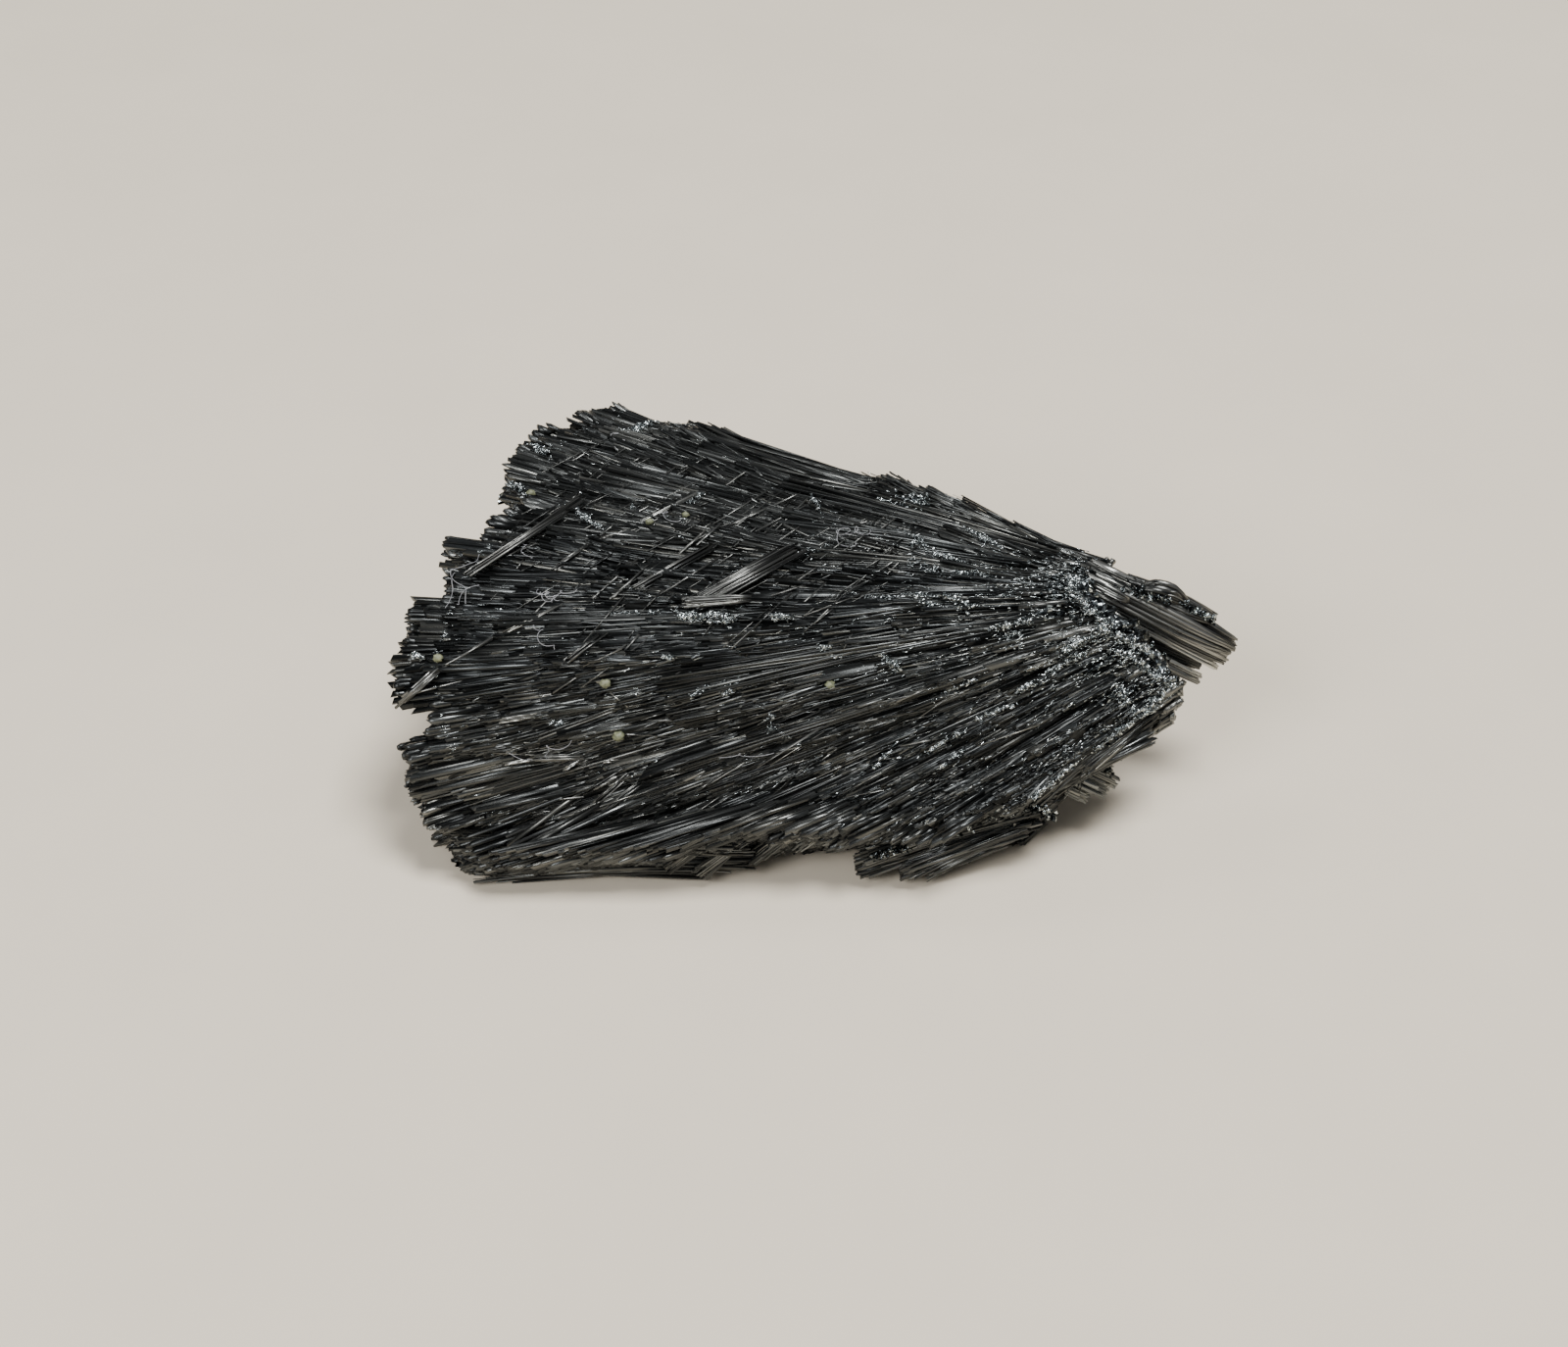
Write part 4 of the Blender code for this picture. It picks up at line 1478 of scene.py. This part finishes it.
@dataclass(frozen=True)
class Strays:
    """Single needles strewn over a stretch of the top.

    stations are the least, the likeliest and the most, lengths the least length and how much longer the
    longest is, and turned the spread of their directions in degrees.
    """

    stations: Point
    reach: Range
    lift: Range
    lengths: Range
    half: Range
    turned: float
    shade: Range
    tint: Range

    def strewn(self, fan: Fan, rng: Random, count: int, along: Array | None = None) -> Mesh:
        """Strews them: all along one direction, or along the rays and no further than the tips.

        Args:
            fan: The field that they lie on.
            rng: Where the random numbers come from.
            count: How many.
            along: The one direction, if they take it.

        Returns:
            The needles as one mesh.
        """
        turn = fan.turn_of(rng.triangular(*self.stations, count))
        reach = rng.uniform(*self.reach, count)
        if along is None:
            reach = reach * fan.tip_limit(turn)
        place = turn, reach, rng.uniform(*self.lift, count)
        length = self.lengths[0] + self.lengths[1] * rng.uniform(0, 1, count) ** 2
        half = rng.uniform(*self.half, count)
        return splinters(fan, rng, place, length, half, self.turned, self.shade, self.tint, along)


@dataclass
class CrossBundles(Growth):
    """Bundles that broke loose and lie across the top at an angle to the rays."""

    # Station and reach of each end, half width, needles, lift, shade and tint.
    bundles: tuple[tuple[Range, Range, float, int, float, float, float], ...] = (
        ((0.29, 0.925), (0.163, 0.828), 0.37, 20, 0.7, 0.28, 0.6),
        ((0.21, 0.75), (0.122, 0.658), 0.12, 5, 0.45, 0.55, 0.5),
        ((0.233, 0.645), (0.198, 0.608), 0.1, 3, 0.4, 0.5, 0.75),
        ((0.335, 0.572), (0.208, 0.448), 0.62, 38, 0.35, 0.12, 0.3),
        ((0.302, 0.668), (0.21, 0.588), 0.36, 14, 0.2, 0.04, 0.3),
        ((0.357, 0.838), (0.323, 0.77), 0.12, 5, 0.4, 0.5, 0.8),
        ((0.388, 0.928), (0.36, 0.85), 0.12, 4, 0.35, 0.5, 0.6),
        ((0.412, 0.99), (0.385, 0.922), 0.32, 10, 0.35, 0.35, 0.6),
        ((0.405, 0.973), (0.398, 0.888), 0.15, 5, 0.3, 0.35, 0.5),
        ((0.325, 0.7), (0.268, 0.665), 0.1, 3, 0.35, 0.3, 0.6),
        ((0.395, 0.75), (0.36, 0.69), 0.25, 7, 0.3, 0.2, 0.5),
        ((0.438, 0.855), (0.44, 0.8), 0.22, 8, 0.35, 0.7, 0.9),
        ((0.173, 0.583), (0.12, 0.533), 0.1, 3, 0.35, 0.4, 0.6),
        ((0.27, 0.815), (0.23, 0.778), 0.12, 4, 0.3, 0.3, 0.5),
        ((0.43, 0.693), (0.453, 0.673), 0.05, 1, 0.35, 0.7, 0.9),
        ((0.478, 0.872), (0.48, 0.835), 0.12, 5, 0.6, 0.9, 0.45),
        ((0.499, 0.802), (0.494, 0.772), 0.13, 4, 0.65, 1.0, 0.15),
        ((0.48, 0.835), (0.492, 0.765), 0.26, 9, 0.4, 0.4, 0.45),
        ((0.5, 0.748), (0.505, 0.72), 0.1, 3, 0.55, 0.95, 0.35),
        ((0.6, 0.9), (0.56, 0.76), 0.22, 8, 0.35, 0.3, 0.7),
        ((0.575, 0.86), (0.53, 0.735), 0.26, 9, 0.35, 0.22, 0.6),
        ((0.64, 0.85), (0.605, 0.7), 0.22, 8, 0.35, 0.3, 0.8),
        ((0.545, 0.82), (0.515, 0.72), 0.18, 6, 0.35, 0.25, 0.4),
        ((0.62, 0.76), (0.585, 0.61), 0.2, 7, 0.35, 0.3, 0.7),
    )
    # Station and reach of both ends of the short pale row of coarse rods, and how high it lies.
    pale_rods: tuple[Range, Range] = ((0.334, 0.59), (0.327, 0.49))
    pale_lift: float = 0.55
    back: Strays = Strays((0.02, 0.15, 0.43), (0.28, 0.91), (-0.05, 0.32), (1, 5), (0.03, 0.11), 9, (0, 0.34),
                          (0.2, 0.8))
    front: Strays = Strays((0.36, 0.56, 0.98), (0.3, 0.95), (0, 0.36), (0.8, 4), (0.03, 0.08), 8, (0, 0.45),
                           (0.3, 1.0))
    singles: int = 360
    seed: int = 51

    def build(self) -> None:
        """Lays each bundle straight between its two ends, and strays as the first bundle and as the rays."""
        rng = np.random.default_rng(self.seed)
        fan, parts = self.fan, []
        for first, last, half_width, needles, lift, shade, tint in self.bundles:
            ends = fan.line(first, last, lift)
            laid = bundle(rng, ends, half_width, min(half_width * 0.4, 0.2), needles, (0.04, 0.09), lean=0.7,
                          ragged=0.8, shade=(max(shade - 0.3, 0), min(shade + 0.2, 1)),
                          tint=(tint - 0.15, min(tint + 0.15, 1)))
            parts.append(laid.mesh(5))
        ends = fan.line(*self.pale_rods, self.pale_lift)
        parts += RodRow(*ends, 0.36, 0.2, 14, (0.09, 0.15), (0.02, 0.4), 0.3, nose=0.6).build(rng)
        at = np.array(self.bundles[0][:2])
        ends = fan.surface(fan.turn_of(at[:, 0]), at[:, 1])
        parts.append(self.back.strewn(fan, rng, self.singles, unit(ends[1] - ends[0])))
        parts.append(self.front.strewn(fan, rng, self.singles))
        self.keep("cross_bundles", parts)


@dataclass
class CrushedBand(Growth):
    """The crushed band over the root line and down the front rim, where the needles are broken to facets."""

    chips: int = 620
    pieces: int = 260
    # Station and reach of both ends, half width and rise of each ribbon of facets.
    ribbons: tuple[tuple[Range, Range, float, float], ...] = (
        ((-0.08, 0.015), (0.3, 0.0), 0.62, 0.25), ((0.2, 0.0), (0.62, 0.0), 0.75, 0.3),
        ((0.5, 0.0), (0.9, 0.005), 0.75, 0.3), ((0.8, 0.015), (0.985, 0.03), 0.65, 0.22),
        ((0.985, 0.0), (0.97, 0.42), 0.5, 0.22), ((0.975, 0.36), (0.99, 0.96), 0.42, 0.15),
        ((0.06, -0.005), (0.048, -0.045), 0.45, 0.15), ((0.61, 0.125), (0.56, 0.045), 0.6, 0.35),
        ((0.43, 0.12), (0.4, 0.04), 0.45, 0.25), ((0.76, 0.16), (0.74, 0.05), 0.5, 0.3),
        ((0.87, 0.25), (0.9, 0.06), 0.45, 0.25), ((0.62, 0.345), (0.585, 0.245), 0.32, 0.25),
        ((0.345, 0.592), (0.362, 0.508), 0.42, 0.3), ((0.448, 0.59), (0.44, 0.513), 0.35, 0.28),
        ((0.03, 0.402), (0.026, 0.322), 0.42, 0.45), ((0.215, 0.445), (0.19, 0.412), 0.35, 0.35),
        ((0.05, 0.885), (0.003, 0.873), 0.3, 0.35), ((0.16, 0.98), (0.158, 0.938), 0.3, 0.3),
    )
    # Strips of chips on the root block: start, end, spread and how many chips.
    strips: tuple[tuple[Point, Point, float, int], ...] = (
        ((0.2, 2.4, 13.7), (2.7, 1.1, 12.95), 0.16, 150), ((3.0, 1.3, 13.1), (5.2, 0.75, 12.7), 0.16, 110),
        ((6.2, 1.0, 12.4), (8.3, 0.45, 11.3), 0.14, 90), ((2.2, 0.2, 10.5), (5.6, -0.6, 8.8), 0.2, 150),
        ((-12.9, -11.2, 2.7), (-10.7, -11.0, 3.3), 0.16, 60),
        ((-9.4, -10.5, 3.9), (-6.6, -10.1, 4.1), 0.14, 46), ((-6.0, -9.9, 4.5), (-2.2, -8.9, 4.9), 0.14, 60),
        ((-2.4, -8.8, 4.3), (-1.9, -8.8, 3.6), 0.12, 30), ((1.4, -5.7, 4.75), (2.0, -5.9, 4.6), 0.08, 16),
    )
    # How much of the chips and pieces lies at the root line, the rest down the rim, and how far it spreads
    # from each, in reach and in stations.
    root_share: float = 0.7
    root_spread: float = 0.032
    rim_station: float = 0.975
    rim_spread: float = 0.016
    lift: Range = (-0.25, 0.12)
    chip_shape: Point = (1.6, 0.8, 0.6)
    piece_length: Range = (0.3, 0.8)
    piece_half: Range = (0.06, 0.13)
    piece_turned: float = 16.0
    seed: int = 61

    def build(self) -> None:
        """Lays the ribbons, and strews chips and short pieces of needle over the band."""
        rng = np.random.default_rng(self.seed)
        fan, chips, pieces = self.fan, self.chips, self.pieces
        parts = [Ribbon(*row).foil(fan, rng) for row in self.ribbons]
        count = chips + pieces
        root = rng.uniform(0, 1, count) < self.root_share
        turn = np.where(root, rng.uniform(-0.04, fan.top_end + 0.01, count),
                        fan.top_end * (self.rim_station + rng.normal(0.0, self.rim_spread, count)))
        reach = np.where(root, np.abs(rng.normal(0.0, self.root_spread, count)), rng.uniform(0, 1, count))
        place = np.stack([turn, reach, rng.uniform(*self.lift, count)])
        sizes = (0.05 + 0.12 * rng.uniform(0, 1, (chips, 1)) ** 2) * rng.uniform(0.5, 1.2, (chips, 3))
        parts.append(crushed(rng, fan.point(*place[:, :chips]), sizes * self.chip_shape,
                             rng.uniform(0.0, 1.0, chips), rng.uniform(0.1, 0.7, chips)))
        parts.append(splinters(fan, rng, place[:, chips:], rng.uniform(*self.piece_length, pieces),
                               rng.uniform(*self.piece_half, pieces), self.piece_turned, (0.0, 0.7)))
        for start, end, spread, number in self.strips:
            line = np.array(start) + (np.array(end) - np.array(start)) * rng.uniform(0, 1, (number, 1))
            centres = line + rng.normal(0, spread, (number, 3))
            sizes = rng.uniform(0.05, 0.13, (number, 1)) * rng.uniform(0.5, 1.1, (number, 3))
            parts.append(crushed(rng, centres, sizes, rng.uniform(0, 1, number), np.full(number, 0.3)))
        self.keep("crushed_band", parts)


@dataclass
class FreshFaces(Growth):
    """Bright broken faces: seams of tiny flakes along the rays, thickest towards the root."""

    # Station and reach of each seam's ends, half width, and how many flakes before crowding multiplies them.
    seams: tuple[tuple[float, ...], ...] = (
        (0.04, 0.883, 0.003, 0.873, 0.25, 100), (0.095, 0.973, 0.105, 0.943, 0.2, 32),
        (0.155, 0.975, 0.16, 0.938, 0.2, 46), (0.16, 0.756, 0.16, 0.75, 0.12, 6),
        (0.188, 0.828, 0.203, 0.773, 0.15, 46), (0.138, 0.67, 0.12, 0.655, 0.12, 14),
        (0.346, 0.592, 0.362, 0.508, 0.4, 70), (0.362, 0.455, 0.365, 0.43, 0.2, 18),
        (0.4, 0.612, 0.403, 0.598, 0.12, 8), (0.45, 0.59, 0.445, 0.568, 0.2, 16),
        (0.453, 0.543, 0.44, 0.513, 0.3, 26), (0.338, 0.713, 0.338, 0.618, 0.1, 22),
        (0.448, 0.785, 0.455, 0.77, 0.25, 20), (0.495, 0.5, 0.57, 0.535, 0.2, 22),
        (0.223, 0.443, 0.195, 0.415, 0.3, 30), (0.032, 0.402, 0.026, 0.322, 0.3, 60),
        (0.222, 0.285, 0.255, 0.14, 0.15, 34), (0.048, 0.515, 0.1, 0.463, 0.15, 26),
        (0.128, 0.335, 0.188, 0.195, 0.16, 60), (0.062, 0.233, 0.092, 0.153, 0.15, 26),
        (0.32, 0.245, 0.375, 0.163, 0.15, 34), (0.415, 0.393, 0.435, 0.37, 0.25, 26),
        (0.44, 0.315, 0.48, 0.305, 0.2, 22), (0.432, 0.16, 0.43, 0.095, 0.12, 20),
        (0.463, 0.153, 0.455, 0.123, 0.2, 20), (0.613, 0.338, 0.583, 0.243, 0.22, 44),
        (0.743, 0.388, 0.748, 0.313, 0.2, 30), (0.765, 0.543, 0.758, 0.438, 0.2, 30),
        (0.745, 0.63, 0.718, 0.548, 0.2, 24), (0.818, 0.615, 0.802, 0.515, 0.12, 20),
        (0.598, 0.105, 0.565, 0.053, 0.34, 64), (0.693, 0.188, 0.657, 0.1, 0.3, 44),
        (0.708, 0.253, 0.698, 0.193, 0.25, 26), (0.185, 0.025, 0.535, 0.008, 0.4, 80),
        (0.508, 0.025, 0.802, 0.005, 0.35, 60), (0.985, 0.27, 0.948, 0.0, 0.35, 80),
        (0.995, 0.56, 0.985, 0.3, 0.3, 70), (0.995, 0.96, 0.99, 0.6, 0.25, 50),
        (0.375, 0.998, 0.372, 0.982, 0.14, 40), (0.297, 0.345, 0.385, 0.173, 0.12, 30),
        (0.73, 0.05, 0.955, 0.04, 0.3, 40), (0.853, 0.14, 0.985, 0.253, 0.25, 40),
    )
    crowding: float = 2.2
    lift: Range = (0.10, 0.42)
    flake: Range = (0.04, 0.13)
    flake_shape: Point = (1.6, 0.9, 0.35)
    # How many slivers are strewn besides: their mean reach beyond the least, the least and the most.
    strewn: int = 3300
    strewn_reach: Point = (0.36, 0.03, 0.93)
    strewn_lift: Range = (0.05, 0.38)
    # A sliver's least length, how much longer the longest is, and how slivers turn, in degrees, and shine.
    shortest: float = 0.12
    longer: float = 0.6
    half: Range = (0.02, 0.06)
    turned: float = 16.0
    sliver_shade: Range = (0.1, 1.0)
    seed: int = 71

    def build(self) -> None:
        """Lays flakes and slivers along each seam, and strews slivers, most of them near the root."""
        rng = np.random.default_rng(self.seed)
        fan, strewn = self.fan, self.strewn
        rows = np.array(self.seams)
        row = np.repeat(rows, (self.crowding * rows[:, 5]).astype(int), axis=0)
        number, half = len(row), row[:, 4]
        station, reach = between(row[:, 0:2], row[:, 2:4], rng.uniform(0, 1, (number, 1))).T
        turn = fan.turn_of(station) + rng.normal(0, 0.5, number) * half / fan.width_of_turn(reach)
        reach = reach + rng.normal(0, 0.5, number) * half / fan.ray_length(turn)
        reach = np.minimum(reach, fan.tip_limit(turn) - 0.012)
        seamed = np.stack([turn, reach, rng.uniform(*self.lift, number)])
        sizes = rng.uniform(*self.flake, (number, 1)) * rng.uniform(0.5, 1.2, (number, 3)) * self.flake_shape
        flakes = crushed(rng, fan.point(*seamed), sizes, rng.uniform(0.1, 1.0, number), np.full(number, 0.3))
        beyond, least, most = self.strewn_reach
        loose = np.stack([
            fan.turn_of(rng.uniform(-0.01, 1.01, strewn)),
            np.minimum(rng.exponential(beyond, strewn) + least, most),
            rng.uniform(*self.strewn_lift, strewn),
        ])
        total = number + strewn
        length = self.shortest + self.longer * rng.uniform(0, 1, total) ** 2
        half = rng.uniform(*self.half, total)
        place = np.concatenate([seamed, loose], axis=1)
        slivers = splinters(fan, rng, place, length, half, self.turned, self.sliver_shade)
        self.keep("fresh_faces", [flakes, slivers])


@dataclass
class Grains(Growth):
    """Waxy grains stuck between the needles."""

    # Station, reach and radius.
    places: tuple[tuple[float, float, float], ...] = (
        (0.42, 0.698, 0.34), (0.478, 0.708, 0.36), (0.378, 0.923, 0.3), (0.193, 0.703, 0.26),
        (0.163, 0.66, 0.24), (0.168, 0.918, 0.3), (0.478, 0.403, 0.32),
    )
    # The size and the direction of each wave of lumps.
    waves: tuple[tuple[float, Point], ...] = ((0.10, (5.1, 3.3, 4.2)), (0.06, (-7, 6, 9)))
    flattened: Point = (1.0, 0.85, 0.8)
    rings: int = 9
    sides: int = 14
    lift: float = 0.35

    def build(self) -> None:
        """Makes each grain a lumpy ball: radius * (1 + two small sines of the direction)."""
        tilt, spin = np.meshgrid(np.linspace(0, np.pi, self.rings + 2)[1:-1],
                                 np.arange(self.sides) / self.sides * 2 * np.pi, indexing="ij")
        ball = np.stack([np.sin(tilt) * np.cos(spin), np.sin(tilt) * np.sin(spin), np.cos(tilt)], axis=-1)
        ball = np.concatenate([ball.reshape(-1, 3), [(0, 0, 1), (0, 0, -1)]])
        corners, sizes = loft(self.rings, self.sides)
        parts = []
        for index, (station, reach, radius) in enumerate(self.places):
            centre = self.fan.point(self.fan.turn_of(np.array(station)), np.array(reach), self.lift)
            lumps = 1
            for size, way in self.waves:
                lumps = lumps + size * np.sin(ball @ way + index)
            points = centre + ball * radius * lumps[:, None] * self.flattened
            marks = np.full((2, len(points)), 0.5)
            parts.append(Mesh(points, corners, sizes, points[corners][:, :2], *marks))
        piece = self.keep("grains", parts, Slot.DUST)
        piece.data.polygons.foreach_set("use_smooth", np.ones(len(piece.data.polygons), bool))


@dataclass
class Lint(Growth):
    """A few pale fibres caught on the ragged left side, and tiny tangles on the top."""

    # Station and reach of both ends, how far the fibre curls, and how many loops it makes.
    fibres: tuple[tuple[float, ...], ...] = (
        (0.278, 0.958, 0.322, 0.912, 0.35, 0.8), (0.285, 0.95, 0.328, 0.938, 0.25, 0.6),
        (0.262, 0.93, 0.285, 0.958, 0.3, 0.7), (0.3, 0.905, 0.322, 0.925, 0.3, 0.9),
        (0.304, 0.815, 0.322, 0.785, 0.26, 2.2), (0.308, 0.808, 0.32, 0.775, 0.22, 2.6),
        (0.315, 0.795, 0.305, 0.755, 0.24, 1.8), (0.158, 0.41, 0.182, 0.378, 0.55, 1.6),
        (0.165, 0.395, 0.15, 0.36, 0.35, 1.2), (0.17, 0.7, 0.182, 0.66, 0.4, 1.1),
        (0.052, 0.88, 0.06, 0.85, 0.4, 1.0), (0.47, 0.86, 0.49, 0.8, 0.3, 1.3),
        (0.48, 0.84, 0.47, 0.77, 0.35, 1.7), (0.56, 0.64, 0.6, 0.6, 0.4, 1.4),
        (0.35, 0.8, 0.38, 0.76, 0.35, 1.5), (0.24, 0.88, 0.262, 0.85, 0.3, 1.2),
    )
    radius: float = 0.014
    rings: int = 28
    lift: float = 0.42

    def build(self) -> None:
        """Each fibre runs between its ends, off to the side by curl * sin and along by curl * cos."""
        rows = np.array(self.fibres)
        t = np.linspace(0, 1, self.rings)[None]
        at = between(rows[:, None, 0:2], rows[:, None, 2:4], t[..., None])
        turn = self.fan.turn_of(at[..., 0])
        phase = FULL * rows[:, 5:6] * t + np.arange(len(rows))[:, None]
        curl = rows[:, 4:5] * np.sin(np.pi * t) ** 0.5
        place = turn + curl * np.sin(phase) / self.fan.width_of_turn(at[..., 1])
        reach = at[..., 1] + curl * np.cos(phase) / self.fan.ray_length(turn)
        path = self.fan.point(place, reach, self.lift + 0.25 * curl * np.sin(phase * 0.7))
        out = self.fan.outward(place[:, -1], reach[:, -1])
        count = len(rows)
        marks = np.full((2, count), 0.5)
        fibres = Strands(path, out, np.full(path.shape[:2], self.radius), np.ones(count), np.zeros(count),
                         np.zeros((count, 2)), *marks)
        self.keep("lint", [fibres.mesh(4)], Slot.LINT)


# --- Studio ---


@dataclass(frozen=True)
class Softbox:
    """A square area light that looks at the spray: its place and width, in metres, and its power."""

    name: str
    place: Point
    width: float
    power: float

    def build(self) -> None:
        """Adds the light and turns it towards the middle of the spray."""
        light = bpy.data.lights.new(self.name, "AREA")
        light.shape, light.size, light.energy = "SQUARE", self.width, self.power
        lamp = placed(self.name, light)
        x, y, z = lamp.location = self.place
        flat = math.hypot(x, y)
        lamp.rotation_euler = (math.atan2(flat, z), 0.0, math.atan2(x, -y) if flat else 0.0)


@dataclass(frozen=True)
class Studio:
    """A pale floor, soft lights and the camera, which looks down at 41 degrees. Places are in metres."""

    floor_half: float = 1.2
    floor_paper: MottledFinish = MottledFinish(
        "floor_paper", (0.768, 0.6816, 0.5472), (0.80, 0.71, 0.57), 60.0, (3.0, 0.6), (0.3, 0.7), 0.75
    )
    camera_place: Point = (-0.0021, -0.12035, 0.1084)
    camera_pitch: float = 49.0
    camera_lens: float = 56.925
    sensor: float = 36.0
    camera_clip: Range = (0.01, 10.0)
    sky: Colour = (0.55, 0.57, 0.60)
    sky_strength: float = 0.26
    softboxes: tuple[Softbox, ...] = (
        Softbox("key_softbox", (0.14, -0.02, 0.56), 0.20, 4.0),
        Softbox("left_softbox", (-0.30, -0.30, 0.36), 0.24, 1.9),
        Softbox("back_softbox", (-0.26, 0.28, 0.42), 0.20, 0.45),
    )

    def build(self) -> None:
        """Makes the floor, the sky, the lights and the camera."""
        half = self.floor_half
        data = bpy.data.meshes.new("floor")
        corners = [(-half, -half, 0), (half, -half, 0), (half, half, 0), (-half, half, 0)]
        data.from_pydata(corners, [], [(0, 1, 2, 3)])
        data.materials.append(self.floor_paper.material())
        floor = placed("floor", data)
        floor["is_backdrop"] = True
        world = bpy.context.scene.world = bpy.data.worlds.new("studio")
        world.use_nodes = True
        background = world.node_tree.nodes["Background"].inputs
        background["Color"].default_value = (*self.sky, 1.0)
        background["Strength"].default_value = self.sky_strength
        for softbox in self.softboxes:
            softbox.build()
        camera = bpy.data.cameras.new("camera")
        camera.lens, camera.sensor_width = self.camera_lens, self.sensor
        camera.clip_start, camera.clip_end = self.camera_clip
        eye = bpy.context.scene.camera = placed("camera", camera)
        eye.location = self.camera_place
        eye.rotation_euler = (math.radians(self.camera_pitch), 0.0, 0.0)


def corners_of(bounds: tuple[object, object]) -> list[list[float]]:
    """A box's two corners as plain lists."""
    return [[float(value) for value in corner] for corner in bounds]


def main() -> None:
    """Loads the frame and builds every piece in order."""
    logging.basicConfig(level=logging.INFO, format="%(message)s")
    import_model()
    cad = corners_of(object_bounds())
    box = np.array(cad) / MM
    Studio().build()
    fan = Fan()
    top, under_start, under_end = fan.top_end, fan.base_start, fan.base_end
    half_way = (under_start + under_end) / 2
    needles = NeedleFinish("needles").material()
    # Painted shade and painted light: dimmer needles for the middle and rim, brighter for the back and edge.
    painted_shade_needles = NeedleFinish("needles_painted_shade", (0.0174, 0.0187, 0.0190), (0.216, 0.229, 0.228)).material()
    painted_light_needles = NeedleFinish("needles_painted_light", (0.0300, 0.0320, 0.0318), (0.440, 0.456, 0.440)).material()
    coarse = NeedleFinish("coarse_crystals", light=(0.580, 0.582, 0.545), grooves=7.0).material()
    # Nearly black: painted shade for what shows in the gaps between needles and rods.
    painted_shade_heart = NeedleFinish("painted_shade_heart", light=(0.05, 0.05, 0.05)).material()
    crushed_facets = FacetFinish(
        "crushed_facets", (0.024, 0.0285, 0.0310), (0.84, 0.92, 0.93), 3300.0, 1.5, 5.0, (0.26, 0.10)
    ).material()
    fresh = FacetFinish(
        "fresh_faces", (0.060, 0.068, 0.071), (0.90, 0.97, 0.97), 6000.0, 0.9, 1.4, (0.34, 0.12)
    ).material()
    grains = MottledFinish(
        "grains", (0.10, 0.11, 0.06), (0.26, 0.27, 0.17), 3000.0, (3.0, 0.6), (0.35, 0.65), (0.35, 0.6), 0.2
    ).material()
    lint = MottledFinish(
        "lint_fibre", (0.34, 0.34, 0.36), (0.62, 0.62, 0.64), 1400.0, (2.0, 0.5), (0.35, 0.65), 0.8
    ).material()
    Core(painted_shade_heart, box, fan).build()
    for name, start, end, seed, dense, wild, finish in (
        ("needles_back", 0.0, 0.22 * top, 1, 1.0, 0.8, painted_light_needles),
        ("needles_middle", 0.22 * top, 0.42 * top, 2, 1.0, 1.1, painted_shade_needles),
        ("needles_front", 0.42 * top, 0.68 * top, 3, 1.05, 1.1, needles),
        ("needles_rim", 0.68 * top, 0.99 * top, 4, 1.0, 0.6, painted_shade_needles),
        ("needles_under_front", under_start, half_way, 5, 0.35, 1.0, needles),
        ("needles_under_back", half_way, under_end, 6, 0.35, 1.0, needles),
        ("needles_back_edge", under_end, 1.0, 7, 0.6, 0.3, painted_light_needles),
    ):
        SkinNeedles(finish, box, fan, name, (start, end), seed, dense, wild).build()
    TipBrush(needles, box, fan, "tip_brush_top", (0.0, top), 8).build()
    TipBrush(needles, box, fan, "tip_brush_under", (under_start, 1.0), 9, (-1.2, -2.6, -4.2), 300).build()
    TipBundles(needles, box, fan).build()
    Ledges(needles, box, fan).build()
    RootBlock(coarse, box).build()
    RootFace(coarse, box, fan).build()
    FrontCrystals(needles, box).build()
    CrossBundles(coarse, box, fan).build()
    CrushedBand(crushed_facets, box, fan).build()
    FreshFaces(fresh, box, fan).build()
    Grains(grains, box, fan).build()
    Lint(lint, box, fan).build()


if __name__ == "__main__":
    main()
